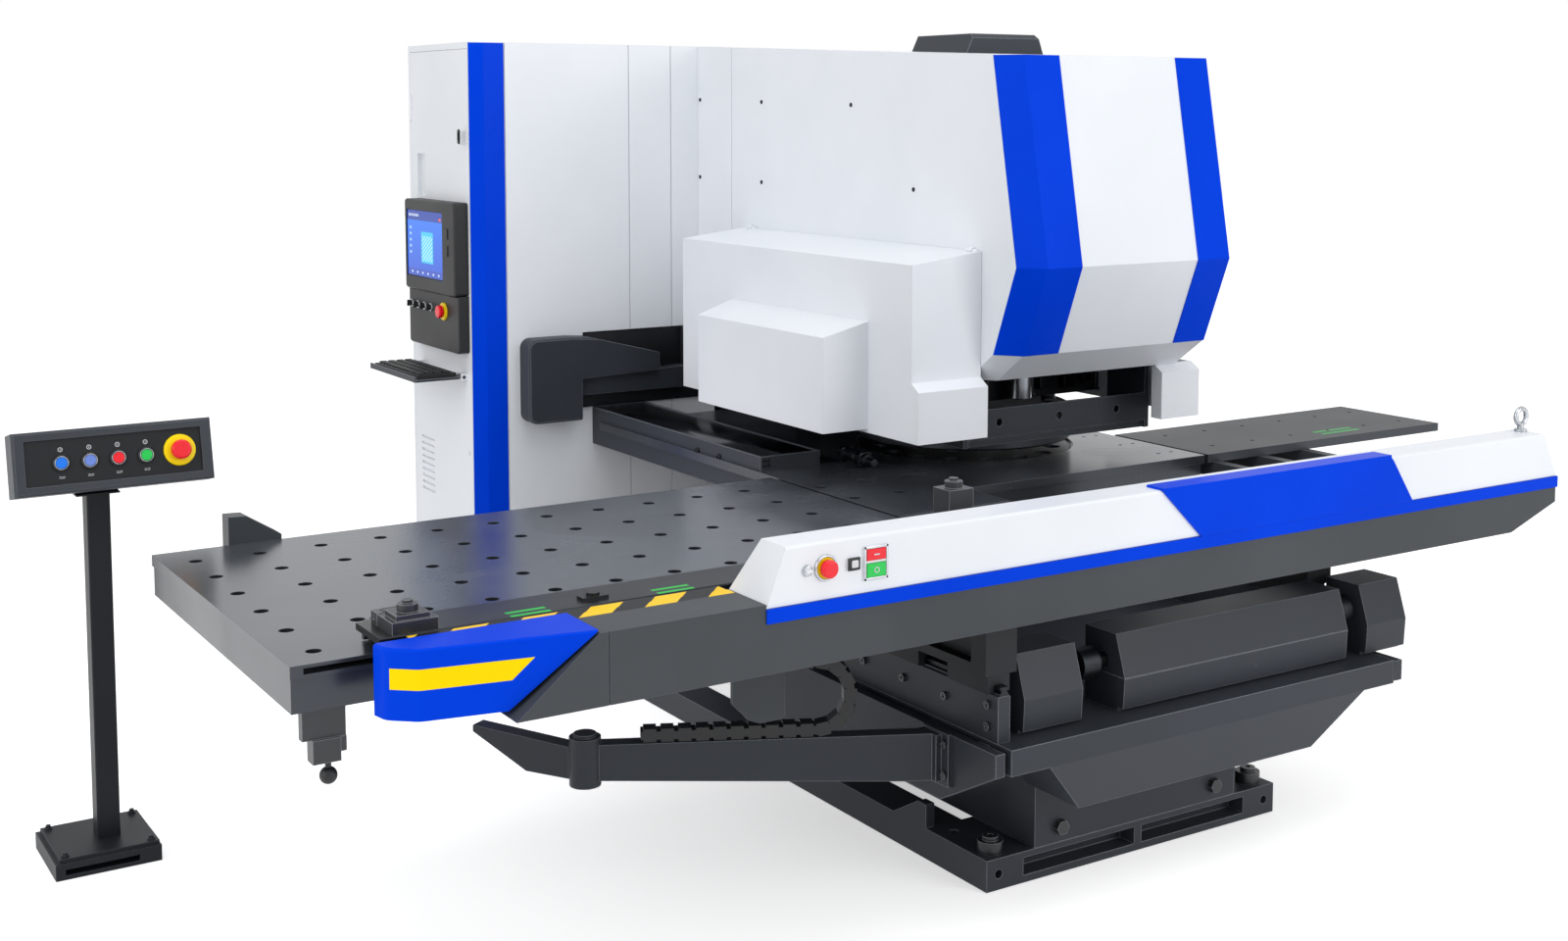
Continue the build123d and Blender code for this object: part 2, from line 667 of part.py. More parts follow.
with BuildPart() as cabinet_trim:
    plan_prism([(cab_left, door_front - 6), (cab_left, cab_front + 14), (cab_left + trim_fold, cab_front),
                (cab_left + trim_width - 1, cab_front), (cab_left + trim_width - 1, cab_front + sheet_wall),
                (cab_left + trim_fold, cab_front + sheet_wall), (cab_left + sheet_wall, cab_front + 14),
                (cab_left + sheet_wall, door_front - 6)], frame_height + 2, cab_top - 2)
save(cabinet_trim, "cabinet_trim")

tray_front = 1012.0
tray_back = 1490.0
tray_reach = 215.0
tray_z = 1150.0
tray_hinge = (cab_left - 16.0, tray_z - 4.5)
tray_ears = (tray_front + 20, tray_back - 60)
ear_width = 40.0
lug_width = 10.0
hinge_pin = 7.0
hinge_fit = 0.05

louvre_count = 9
louvre_pitch = 26.0
with BuildPart() as cabinet_door:
    block(cab_left, cab_left + door_thickness, door_front, door_back, door_low, door_high)
    for step in range(louvre_count):
        z_slot = 640 + step * louvre_pitch
        side_prism([(1370, z_slot), (1500, z_slot), (1500, z_slot + 9), (1370, z_slot + 9)],
                   cab_left - 1, cab_left + 6, mode=Mode.SUBTRACT)
    block(cab_left - 1, cab_left + 16, 1420, 1500, 1812, 1978, mode=Mode.SUBTRACT)
    for y_lock in (1000, 1040):
        block(cab_left - 5, cab_left, y_lock, y_lock + 22, 2020, 2070)
    for y_ear in tray_ears:
        for y_lug in (y_ear - lug_width - 1, y_ear + ear_width + 1):
            block(tray_hinge[0] - 11, cab_left, y_lug, y_lug + lug_width, tray_hinge[1] - 12, tray_hinge[1] + 12)
            rod(Plane.XZ.offset(-y_lug + 1).shift_origin((tray_hinge[0], y_lug - 1, tray_hinge[1])),
                hinge_pin + hinge_fit, -lug_width - 2, mode=Mode.SUBTRACT)
    rod(Plane(origin=(cab_left, 1020, 392), z_dir=(-1, 0, 0)), 9, 4)
    rod(Plane(origin=(cab_left, 1020, 855), z_dir=(-1, 0, 0)), 9, 4)
    for z_knuckle in door_knuckles:
        rod(Plane(origin=(cab_left, door_back, z_knuckle + knuckle_length)), knuckle_pin + 1, knuckle_length + 2,
            mode=Mode.SUBTRACT)
        rod(Plane(origin=(cab_left, door_back, z_knuckle)), knuckle_pin, knuckle_length)
save(cabinet_door, "cabinet_door")

bezel_front = 1000.0
bezel_back = 1500.0
bezel_low = 1452.0
bezel_high = 1803.0
bezel_proud = 58.0
screen_front = 1118.0
screen_back = 1478.0
screen_low = 1506.0
screen_high = 1760.0
bezel_face = cab_left - bezel_proud

with BuildPart() as display_bezel:
    side_prism([(bezel_front, bezel_low), (bezel_back, bezel_low), (bezel_back, bezel_high),
                (bezel_front, bezel_high)], bezel_face, cab_left)
    fillet(display_bezel.edges().filter_by(Axis.X), 14)
    chamfer(display_bezel.faces().sort_by(Axis.X)[0].edges(), 5)
    block(bezel_face - 1, bezel_face + 6, screen_front - 3, screen_back + 3, screen_low - 3, screen_high + 3,
          mode=Mode.SUBTRACT)
    for z_key in (1600, 1665):
        block(bezel_face - 3, bezel_face, 1060, 1088, z_key, z_key + 40)
save(display_bezel, "display_bezel")

with BuildPart() as display_screen:
    block(bezel_face + 3, bezel_face + 6, screen_front, screen_back, screen_low, screen_high)
save(display_screen, "display_screen")

panel_low = 1236.0
panel_face = cab_left - 44.0
switch_spots = (1462.0, 1396.0, 1330.0, 1264.0)
switch_z = 1392.0
cab_estop_y = 1142.0
with BuildPart() as switch_panel:
    side_prism([(bezel_front, panel_low), (bezel_back, panel_low), (bezel_back, bezel_low - touch_gap),
                (bezel_front, bezel_low - touch_gap)], panel_face, cab_left)
    fillet(switch_panel.edges().filter_by(Axis.X).group_by(Axis.Z)[0], 14)
    chamfer(switch_panel.faces().sort_by(Axis.X)[0].edges(), 4)
    for spot in switch_spots:
        rod(Plane(origin=(panel_face, spot, switch_z), z_dir=(-1, 0, 0)), 15, 6)
        rod(Plane(origin=(panel_face - 6, spot, switch_z), z_dir=(-1, 0, 0)), 11, 9)
    rod(Plane(origin=(panel_face, cab_estop_y, switch_z - 6), z_dir=(-1, 0, 0)), 34, 6)
    rod(Plane(origin=(panel_face - 10, cab_estop_y, switch_z - 6), z_dir=(-1, 0, 0)), 10.4, -40,
        mode=Mode.SUBTRACT)
save(switch_panel, "switch_panel")

with BuildPart() as cabinet_estop:
    rod(Plane(origin=(panel_face + 16, cab_estop_y, switch_z - 6), z_dir=(-1, 0, 0)), 10, 34)
    rod(Plane(origin=(panel_face - 12.5, cab_estop_y, switch_z - 6), z_dir=(-1, 0, 0)), 24, 16)
    fillet(cabinet_estop.edges().filter_by(GeomType.CIRCLE).sort_by(Axis.X)[0], 6)
save(cabinet_estop, "cabinet_estop")

with BuildPart() as keyboard_tray:
    block(cab_left - tray_reach, cab_left - 38, tray_front, tray_back, tray_z - 9, tray_z)
    block(cab_left - tray_reach, cab_left - tray_reach + 6, tray_front, tray_back, tray_z, tray_z + 12)
    for y_ear in tray_ears:
        y_pin = y_ear - lug_width - 1
        block(tray_hinge[0] - 23, tray_hinge[0], y_ear, y_ear + ear_width, tray_z - 9, tray_z)
        rod(Plane.XZ.offset(-y_pin).shift_origin((tray_hinge[0], y_pin, tray_hinge[1])), hinge_pin,
            -ear_width - 2 * lug_width - 2)
    chamfer(keyboard_tray.edges().filter_by(Axis.Z).group_by(Axis.X)[0], 4)
save(keyboard_tray, "keyboard_tray")

key_rows = 4
key_columns = 14
with BuildPart() as keyboard:
    block(cab_left - tray_reach + 12, cab_left - 42, tray_front + 24, tray_back - 24, tray_z, tray_z + 14)
    with Locations(((2 * cab_left - tray_reach - 34) / 2, (tray_front + tray_back) / 2, tray_z + 14)):
        with GridLocations(34, 30, key_rows, key_columns):
            Box(24, 22, 7, align=(Align.CENTER, Align.CENTER, Align.MIN))
save(keyboard, "keyboard")

# Throat cover and rail box at the fixed tables
throat_front = 880.0
throat_left = -782.0
throat_low = 964.0
throat_high = 1286.0
throat_fold = 26.0
with BuildPart() as throat_cover:
    front_prism([(throat_left, throat_low), (-560, throat_low), (-557, 1056), (-90, 1056), (-90, 1140),
                 (-222, 1135), (-225, 1204), (-519, 1280), (-600, throat_high), (throat_left, throat_high)],
                throat_front + throat_fold, cab_front - touch_gap)
    front_prism([(throat_left, throat_low), (-560, throat_low), (-560, 1124), (-222, 1135), (-225, 1204),
                 (-519, 1280), (-600, throat_high), (throat_left, throat_high)],
                throat_front, throat_front + throat_fold)
    fillet(throat_cover.edges().filter_by(Axis.Y).group_by(Axis.X)[0], 38)
    chamfer(throat_cover.faces().sort_by(Axis.Y)[0].edges().sort_by(Axis.X)[:3], 7)
save(throat_cover, "throat_cover")

rail_box_left = -479.0
rail_box_right = -242.0
rail_box_front = -285.0
rail_box_low = 855.0
rail_box_top = 995.0
with BuildPart() as rail_box:
    block(rail_box_left, rail_box_right, rail_box_front, cab_front - touch_gap, rail_box_low, rail_box_top)
    chamfer(rail_box.edges().filter_by(Axis.Y).group_by(Axis.Z)[-1], 6)
    block(rail_box_left + 90, rail_box_right - 60, rail_box_front - 1, 760, rail_box_top - 8, rail_box_top + 1,
          mode=Mode.SUBTRACT)
    block(rail_box_left + 112, rail_box_left + 132, rail_box_front, 740, rail_box_top - 8, rail_box_top + 4)
save(rail_box, "rail_box")

# Fixed centre table round the turret
centre_rib = 40.0
turret_hole = turret_radius + 8
with BuildPart() as centre_table:
    block(centre_left, centre_right, centre_front, centre_back, pass_line - table_plate, pass_line)
    block(centre_left, centre_lip_right, centre_lip_front, centre_front, pass_line - table_plate, pass_line)
    block(centre_left + 10, centre_right - 10, centre_front + 8, centre_front + 20,
          pass_line - table_plate - 46, pass_line - table_plate)
    block(centre_left + 10, centre_left + 22, centre_front + 8, rail_box_front - 80,
          pass_line - table_plate - 46, pass_line - table_plate)
    block(centre_right - 22, centre_right - 10, centre_front + 8, centre_back - 8,
          pass_line - table_plate - 46, pass_line - table_plate)
    rod(Plane(origin=(turret_x, turret_y, pass_line - table_plate - 50)), turret_hole, 90, mode=Mode.SUBTRACT)
    block(rail_box_left - touch_gap, rail_box_right + touch_gap, rail_box_front - touch_gap, centre_back + 1,
          rail_box_low - 1, pass_line + 1, mode=Mode.SUBTRACT)
    block(press_left - 1, press_right + 1, 499, centre_back + 1, plate_low - 1, pass_line + 1, mode=Mode.SUBTRACT)
    for y_foot in (-690, 300):
        block(180, 700, y_foot, y_foot + 60, arm_low_top, pass_line - table_plate)
    with Locations(Plane(origin=(-280, -700, pass_line))):
        with GridLocations(ball_pitch_x, ball_pitch_y, 3, 2):
            CounterBoreHole(6, ball_hole_radius, ball_hole_depth, ball_hole_depth + 4)
    with Locations(Plane(origin=(900, -560, pass_line))):
        with GridLocations(60, ball_pitch_y, 2, 3):
            Hole(7, 12)
save(centre_table, "centre_table")

# Press frame, the C-shaped casting that carries both turrets
with BuildPart() as press_frame:
    side_prism([(-550, 180), (1560, 180), (1560, 2150), (-620, 2150), (-620, 1500), (500, 1500),
                (500, arm_low_top), (-695, arm_low_top), (-695, 670), (-550, 670)], press_left, press_right)
    fillet(press_frame.edges().filter_by(Axis.X).filter_by_position(Axis.Y, 499, 501), 60)
    block(press_left - 80, press_right + 80, 700, 1300, frame_height, 180)
    block(press_left, press_right, -540, -300, frame_height, 180)
    rod(Plane(origin=(turret_x, turret_y, 1499)), turret_shaft_radius + turret_fit, 240, mode=Mode.SUBTRACT)
    rod(Plane(origin=(turret_x, turret_y, arm_low_top + 1)), turret_shaft_radius + turret_fit, -180,
        mode=Mode.SUBTRACT)
    rod(Plane(origin=(turret_x, punch_y, 1499)), ram_radius + ram_fit, 300, mode=Mode.SUBTRACT)
    block(turret_x - 120, turret_x + 120, punch_y - 90, punch_y + 80, 1360, 1500)
    rod(Plane(origin=(turret_x, punch_y, 1359)), ram_radius + ram_fit, 160, mode=Mode.SUBTRACT)
save(press_frame, "press_frame")

# Turrets and ram
with BuildPart() as upper_turret:
    rod(Plane(origin=(turret_x, turret_y, turret_upper_low)), turret_radius, turret_upper_thickness)
    chamfer(upper_turret.edges().filter_by(GeomType.CIRCLE), 6)
    rod(Plane(origin=(turret_x, turret_y, turret_upper_low + turret_upper_thickness)),
        turret_shaft_radius, 1499 + 200 - turret_upper_low - turret_upper_thickness)
    with Locations(Plane(origin=(turret_x, turret_y, turret_upper_low + turret_upper_thickness))):
        with PolarLocations(station_circle, station_count):
            Cylinder(station_head, 18, align=(Align.CENTER, Align.CENTER, Align.MIN))
    with Locations(Plane(origin=(turret_x, turret_y, turret_upper_low))):
        with PolarLocations(station_circle, station_count):
            Cylinder(station_radius, 10, align=(Align.CENTER, Align.CENTER, Align.MAX))
save(upper_turret, "upper_turret")

with BuildPart() as lower_turret:
    rod(Plane(origin=(turret_x, turret_y, turret_lower_top)), turret_radius, -turret_lower_thickness)
    chamfer(lower_turret.edges().filter_by(GeomType.CIRCLE), 4)
    with Locations(Plane(origin=(turret_x, turret_y, turret_lower_top))):
        with PolarLocations(station_circle, station_count):
            Cylinder(station_radius, 12, align=(Align.CENTER, Align.CENTER, Align.MAX), mode=Mode.SUBTRACT)
            Cylinder(station_head - 12, 40, align=(Align.CENTER, Align.CENTER, Align.MAX), mode=Mode.SUBTRACT)
    rod(Plane(origin=(turret_x, turret_y, turret_lower_top - turret_lower_thickness)),
        turret_shaft_radius, -(turret_lower_top - turret_lower_thickness - arm_low_top + 150))
save(lower_turret, "lower_turret")

with BuildPart() as ram:
    rod(Plane(origin=(turret_x, punch_y, ram_low)), ram_radius, 1700 - ram_low)
    chamfer(ram.edges().filter_by(GeomType.CIRCLE), 3)
save(ram, "ram")

# Head shell over the upper arm, with its stripes
front_line = [(nose_top_y, head_top_front), (nose_mid_y, nose_mid_z), (nose_low_y, nose_low_z),
              (under_back_y, under_back_z)]


def head_outline(shift):
    """Side outline of the head with its front moved back by a shift."""
    front = [(y + shift, z) for y, z in front_line]
    return [(head_back, frame_height), (head_back, head_top_back), (head_seat, head_top_back)] + front + [
        (head_seat, under_back_z), (head_seat, frame_height)]


def head_side(x_edge, x_inner, points_edge, points_inner):
    """The chamfered side of the head, between its outer face and the full section."""
    with BuildSketch(Plane.YZ.offset(x_edge)) as outer_face:
        with BuildLine():
            Polyline(*points_edge, close=True)
        make_face()
    with BuildSketch(Plane.YZ.offset(x_inner)) as inner_face:
        with BuildLine():
            Polyline(*points_inner, close=True)
        make_face()
    loft([outer_face.sketch.face(), inner_face.sketch.face()], ruled=True)


chamfer_left = head_left + nose_chamfer_x
chamfer_right = head_right - nose_chamfer_x
with BuildPart() as head_shell:
    side_prism(head_outline(0), chamfer_left, chamfer_right)
    head_side(head_left, chamfer_left, head_outline(nose_chamfer_y), head_outline(0))
    head_side(head_right, chamfer_right, head_outline(nose_chamfer_y), head_outline(0))
    side_prism([(head_back - 12, frame_height - 1), (head_back - 12, head_top_back - 14),
                (head_seat, head_top_back - 14), (nose_top_y + 14, head_top_front - 16),
                (nose_mid_y + 14, nose_mid_z), (nose_low_y + 14, nose_low_z + 6), (under_back_y + 10, under_back_z + 10),
                (under_back_y + 10, under_back_z - 60), (head_seat - 60, under_back_z - 60),
                (head_seat - 60, frame_height - 1)], chamfer_left + 12, chamfer_right - 12, mode=Mode.SUBTRACT)
    block(head_left - 1, chamfer_left + 13, side_front + 90, side_back - 60, under_back_z - 1, 1600,
          mode=Mode.SUBTRACT)
    for y_rivet, z_rivet in ((944, 2189), (481, 2179), (-113, 2167), (946, 1884), (481, 1878), (-483, 1885)):
        rod(Plane(origin=(head_left, y_rivet, z_rivet), z_dir=(-1, 0, 0)), 6, 2)
    block(head_left - 1, head_left + 3, 700, 704, 120, head_top_back + 1, mode=Mode.SUBTRACT)
    for y_lug in cover_lugs:
        block(cover_hinge[0], head_left, y_lug, y_lug + cover_lug_width, cover_hinge[1] - 12, cover_hinge[1] + 12)
        rod(Plane.XZ.offset(-y_lug).shift_origin((cover_hinge[0], y_lug, cover_hinge[1])), 12, -cover_lug_width)
        rod(Plane.XZ.offset(-y_lug + 1).shift_origin((cover_hinge[0], y_lug - 1, cover_hinge[1])),
            hinge_pin + hinge_fit, -cover_lug_width - 2, mode=Mode.SUBTRACT)
save(head_shell, "head_shell")

with BuildPart() as nose_stripes:
    ribbon = front_line[:3] + [(y - stripe_proud, z) for y, z in reversed(front_line[:3])]
    ribbon_edge = [(y + nose_chamfer_y, z) for y, z in ribbon]
    side_prism(ribbon, chamfer_left, chamfer_left + stripe_width)
    side_prism(ribbon, chamfer_right - stripe_width, chamfer_right)
    head_side(head_left, chamfer_left, ribbon_edge, ribbon)
    head_side(head_right, chamfer_right, ribbon_edge, ribbon)
save(nose_stripes, "nose_stripes")

roof_slope = head_fall / (head_seat - nose_top_y)
roof_box_left = 96.0
roof_box_right = 420.0
roof_box_front = -640.0
roof_box_back = -330.0
with BuildPart() as roof_box:
    roof_front = head_top_back - (head_seat - roof_box_front) * roof_slope
    roof_back = head_top_back - (head_seat - roof_box_back) * roof_slope
    side_prism([(roof_box_front, roof_front), (roof_box_front, head_top_back - 14), (roof_box_front + 18, head_top_back),
                (roof_box_back, head_top_back), (roof_box_back, roof_back)], roof_box_left, roof_box_right)
    front_prism([(roof_box_left - 1, roof_front - 1), (roof_box_left - 1, head_top_back + 1),
                 (roof_box_left + 32, head_top_back + 1)], roof_box_front - 1, roof_box_back + 1, mode=Mode.SUBTRACT)
    front_prism([(roof_box_right + 1, roof_front - 1), (roof_box_right + 1, head_top_back + 1),
                 (roof_box_right - 24, head_top_back + 1)], roof_box_front - 1, roof_box_back + 1, mode=Mode.SUBTRACT)
save(roof_box, "roof_box")

# Side covers of the throat
lower_front = side_front - ledge_proud
with BuildPart() as side_cover_left:
    side_prism([(side_back, side_low), (side_back, side_top_out), (side_front, side_top_out),
                (side_front, ledge_z), (lower_front, ledge_z - ledge_fall), (lower_front, side_low)],
               -side_out, -side_gap)
    front_prism([(-side_out, side_top_out), (-side_gap, side_top_out), (-side_gap, side_top_in)],
                side_front, side_back)
    with BuildSketch(Plane.YZ.offset(-side_out)) as bulge_foot:
        with BuildLine():
            Polyline((bulge_front, bulge_low), (bulge_back, bulge_low), (bulge_back, bulge_slope_top),
                     (bulge_front, bulge_slope_top), close=True)
        make_face()
    with BuildSketch(Plane.YZ.offset(-bulge_out)) as bulge_face:
        with BuildLine():
            Polyline((bulge_front, bulge_low), (bulge_back - 60, bulge_low), (bulge_back - 60, bulge_top),
                     (bulge_front, bulge_top), close=True)
        make_face()
    loft([bulge_foot.sketch.face(), bulge_face.sketch.face()], ruled=True)
    block(-side_out + sheet_wall, -side_gap + 1, side_front + sheet_wall, side_back - sheet_wall,
          side_low - 1, side_top_out - sheet_wall, mode=Mode.SUBTRACT)
    for y_lug in cover_lugs:
        block(cover_hinge[0] - 16, 0, y_lug - 1, y_lug + cover_lug_width + 1, cover_hinge[1] - 16, side_top_in + 1,
              mode=Mode.SUBTRACT)
        rod(Plane.XZ.offset(-y_lug + 20).shift_origin((cover_hinge[0], y_lug - 20, cover_hinge[1])), hinge_pin,
            -cover_lug_width - 40)
save(side_cover_left, "side_cover_left")

with BuildPart() as side_cover_right:
    side_prism([(side_back, side_low - 10), (side_back, under_back_z), (side_front, under_back_z),
                (lower_front, under_back_z - 24), (lower_front, side_low - 10)], 752, head_right + 26)
    block(751, head_right + 22, side_front + 12, side_back + 1, side_low - 11, under_back_z + 1,
          mode=Mode.SUBTRACT)
save(side_cover_right, "side_cover_right")

with BuildPart() as turret_guard:
    block(60, 840, -712, -700, 1066, 1163)
    block(40, 60, -712, -520, 1040, under_back_z)
    block(840, 860, -712, -520, 1040, under_back_z)
    block(60, 840, -700, -640, 1040, 1062)
    with BuildSketch(Plane.XZ.offset(713)) as guard_holes:
        with Locations((190, 1116), (450, 1116), (710, 1116)):
            Circle(13)
    extrude(guard_holes.sketch, amount=-20, mode=Mode.SUBTRACT)
save(turret_guard, "turret_guard")

# Cross beam, from the slanted end of its blue nose to the right end
bearer_width = 70.0
bearer_left = -2160.0
tape_back = -1656.0
rail_front_y = -1640.0
rail_back_y = -1600.0
rail_x_top = 980.0
with BuildPart() as beam_body:
    front_prism([(cap_right_bottom + touch_gap, beam_bottom), (beam_right - beam_end_run, beam_bottom),
                 (beam_right, beam_bottom + beam_end_rise), (beam_right, beam_cover_seat),
                 (cover_left_bottom, beam_cover_seat), (cover_left_bottom - touch_gap, beam_top),
                 (cap_right_top + touch_gap, beam_top)], beam_front, beam_back)
    block(-1852, -1849, beam_front - 1, beam_front + 3, beam_bottom - 1, beam_top + 1, mode=Mode.SUBTRACT)
    block(shelf_left, beam_right, beam_back, shelf_back, shelf_top - shelf_thickness, shelf_top)
    for x_rib in (-1900, -1300, -700, 20, 560, 1100, 1440):
        side_prism([(beam_back, shelf_top - shelf_thickness), (beam_back, beam_bottom + 40),
                    (beam_back + 60, shelf_top - shelf_thickness)], x_rib - 6, x_rib + 6)
    for x_bearer, y_end in ((bearer_left, table_back + 60), (-1370, table_back - 30), (-680, table_back - 30)):
        block(x_bearer - bearer_width / 2, x_bearer + bearer_width / 2, beam_back, y_end, beam_bottom, plate_low)
    block(shelf_left, -2080, beam_back, beam_back + 20, plate_low - 40, shelf_top)
    block(shelf_left, -2080, beam_back, table_front + 40, beam_bottom + 4, plate_low)
    front_prism([(bearer_left - 112, beam_bottom + 60), (bearer_left + 36, beam_bottom + 60),
                 (bearer_left + 36, pass_line + 14), (bearer_left - 62, pass_line + 76),
                 (bearer_left - 112, pass_line + 78)], table_back, table_back + 60)
    block(shelf_left - 40, cover_left_bottom - 3, beam_back, tape_back, shelf_top - shelf_thickness, beam_top - 2)
    for x_arm in (1050, 1270, 1490):
        block(x_arm - 20, x_arm + 20, beam_back, right_table_front + 300, plate_low - 52, plate_low)
    block(1030, 1510, right_table_front + 280, right_table_front + 320, plate_low - 52, plate_low)
    front_prism([(-1340, plate_low), (-1340, 870), (-1317, 850), (-1317, 640), (-1270, 590), (-1235, 576),
                 (-1160, 576), (-1160, plate_low)], -1508, -1496)
save(beam_body, "beam_body")

cap_gap = touch_gap
with BuildPart() as nose_cap:
    with BuildSketch(Plane.XY.offset(cap_bottom)) as cap_plan:
        with BuildLine():
            Polyline((cap_left, beam_back), (cap_left + 8, beam_back - 46), (cap_left + 66, beam_back - 96),
                     (cap_left + 218, beam_back - 124), (cap_right_top + 60, beam_front - 10),
                     (cap_right_top + 60, beam_back), close=True)
        make_face()
        fillet(cap_plan.vertices().sort_by(Axis.X)[1:3], 40)
    extrude(cap_plan.sketch, amount=cap_top - cap_bottom)
    front_prism([(cap_right_top, cap_top + 1), (cap_right_bottom - 1.3, cap_bottom - 1), (0, cap_bottom - 1),
                 (0, cap_top + 1)], beam_front - 80, beam_back + 80, mode=Mode.SUBTRACT)
    fillet(nose_cap.faces().sort_by(Axis.Z)[-1].edges().sort_by(Axis.Y)[:3], 8)
save(nose_cap, "nose_cap")

cover_right_bottom = beam_right
control_z = 1066.0
estop_x = -1275.0
switch_x = -1132.0
stop_z = 1082.0
start_z = 1044.0
with BuildPart() as beam_cover:
    with BuildSketch(Plane.XY.offset(beam_cover_seat)) as cover_foot:
        with Locations(((cover_left_bottom + cover_right_bottom) / 2, (beam_front + cover_back_bottom) / 2)):
            Rectangle(cover_right_bottom - cover_left_bottom, cover_back_bottom - beam_front)
    with BuildSketch(Plane.XY.offset(cover_top)) as cover_roof:
        with Locations(((cover_left_top + cover_right_top) / 2, (beam_front + cover_back_top) / 2)):
            Rectangle(cover_right_top - cover_left_top, cover_back_top - beam_front)
    loft([cover_foot.sketch.face(), cover_roof.sketch.face()], ruled=True)
    fillet(beam_cover.faces().sort_by(Axis.Z)[-1].edges().sort_by(Axis.Y)[0], 7)
    rod(Plane(origin=(estop_x, beam_front, control_z), z_dir=(0, -1, 0)), 31, 4)
    rod(Plane(origin=(estop_x, beam_front - 6, control_z), z_dir=(0, -1, 0)), 10.4, -44, mode=Mode.SUBTRACT)
    rod(Plane(origin=(estop_x - 53, beam_front, control_z), z_dir=(0, -1, 0)), 12, 6)
    block(estop_x - 62, estop_x - 44, beam_front - 14, beam_front - 6, control_z - 3, control_z + 3)
    block(-1214, -1180, beam_front - 5, beam_front, control_z - 15, control_z + 15)
    block(switch_x - 35, switch_x + 35, beam_front - 5, beam_front, 1020, 1104)
    for z_key, half in ((stop_z, 14), (start_z, 17)):
        block(switch_x - 28.4, switch_x + 28.4, beam_front - 6, beam_front + 20, z_key - half - 0.4,
              z_key + half + 0.4, mode=Mode.SUBTRACT)
save(beam_cover, "beam_cover")

with BuildPart() as beam_panel:
    block(cover_left_bottom, beam_right + 3, beam_front - strip_proud, beam_front, beam_cover_seat - strip_height,
          beam_cover_seat - 1)
    front_prism([(panel_left_bottom, beam_cover_seat - 1), (panel_left_top, cover_top - 12),
                 (panel_right_top, cover_top - 12), (panel_right_bottom, beam_cover_seat - 1)],
                beam_front - panel_proud, beam_front)
    front_prism([(panel_left_top - 11, cover_top), (panel_left_top, cover_top - 12),
                 (panel_right_top, cover_top - 12), (panel_right_top - 11, cover_top),
                 (panel_right_top - 11, cover_top + panel_proud), (panel_left_top - 11, cover_top + panel_proud)],
                beam_front - panel_proud, beam_front)
    front_prism([(panel_left_top - 11, cover_top), (panel_left_top - 11, cover_top + panel_proud),
                 (panel_right_top - 11, cover_top + panel_proud), (panel_right_top - 11, cover_top)],
                beam_front, beam_front + panel_lap)
save(beam_panel, "beam_panel")

with BuildPart() as x_rail:
    block(shelf_left + 20, beam_right - 20, rail_front_y, rail_back_y, shelf_top, rail_x_top)
    chamfer(x_rail.edges().filter_by(Axis.X).group_by(Axis.Z)[-1], 2)
    for step in range(12):
        with Locations(Plane(origin=(shelf_left + 120 + step * 300, (rail_front_y + rail_back_y) / 2, rail_x_top))):
            Hole(6, 8)
save(x_rail, "x_rail")

# Tables that travel with the beam
with BuildPart() as left_table:
    block(table_left, table_right, table_front, table_back, plate_low, pass_line)
    skirt_low = plate_low - table_skirt - 20
    block(table_left + table_inset, table_left + table_inset + 20, table_front + 10, table_back - 4,
          skirt_low, plate_low)
    block(table_left + table_inset + 20, shelf_left - touch_gap, table_front + 10, table_front + 30,
          skirt_low, plate_low)
    block(table_left + table_inset + 20, bearer_left - bearer_width / 2 - 1, table_back - 24, table_back - 4,
          skirt_low, plate_low)
    block(bearer_left + bearer_width / 2 + 1, table_right - 10, table_back - 24, table_back - 4,
          skirt_low, plate_low)
    block(table_left + 30, shelf_left - 20, table_front - 1, table_front + 40, pass_line - 22, pass_line - 8,
          mode=Mode.SUBTRACT)
    with Locations(Plane.XY.offset(pass_line)):
        for row in range(6):
            for column in range(11):
                x_ball = ball_first_x + column * ball_pitch_x
                if row > 0 or column == 0:
                    with Locations((x_ball, ball_first_y + row * ball_pitch_y)):
                        CounterBoreHole(7, ball_hole_radius, ball_hole_depth, ball_hole_depth + 6)
save(left_table, "left_table")

with BuildPart() as right_table:
    block(right_table_left, right_table_right, right_table_front, table_back, plate_low, pass_line)
    block(right_table_left + 20, right_table_right - 20, right_table_front + 320, right_table_front + 340,
          plate_low - 26, plate_low)
    with Locations(Plane(origin=(1640, (right_table_front + table_back) / 2, pass_line))):
        with GridLocations(200, 240, 6, 2):
            Hole(8, 12)
save(right_table, "right_table")

eye_x = 1430.0
eye_y = -1800.0
with BuildPart() as eyebolt:
    rod(Plane(origin=(eye_x, eye_y, cover_top)), 20, 9)
    rod(Plane(origin=(eye_x, eye_y, cover_top + 9)), 11, 16)
    with Locations(Plane(origin=(eye_x, eye_y, cover_top + 48), x_dir=(1, 0, 0), z_dir=(0, -1, 0))):
        Torus(25, 8)
save(eyebolt, "eyebolt")

latch_x = -2392.0
latch_y = -1566.0
latch_low = 720.0
knob_travel = 12.0
with BuildPart() as latch_bracket:
    block(latch_x - 61, latch_x + 38, table_front + 12, table_front + 36, latch_low + 54, skirt_low)
    block(latch_x - 40, latch_x + 24, table_front + 4, table_front + 44, latch_low, latch_low + 54)
    block(latch_x + 24, latch_x + 38, table_front + 8, table_front + 40, latch_low + 20, latch_low + 54)
    rod(Plane(origin=(latch_x, latch_y, latch_low - 1)), 7.05, 60, mode=Mode.SUBTRACT)
save(latch_bracket, "latch_bracket")

with BuildPart() as latch_knob:
    rod(Plane(origin=(latch_x, latch_y, latch_low - 26)), 7, 66)
    with Locations((latch_x, latch_y, latch_low - 34)):
        Sphere(20)
save(latch_knob, "latch_knob")

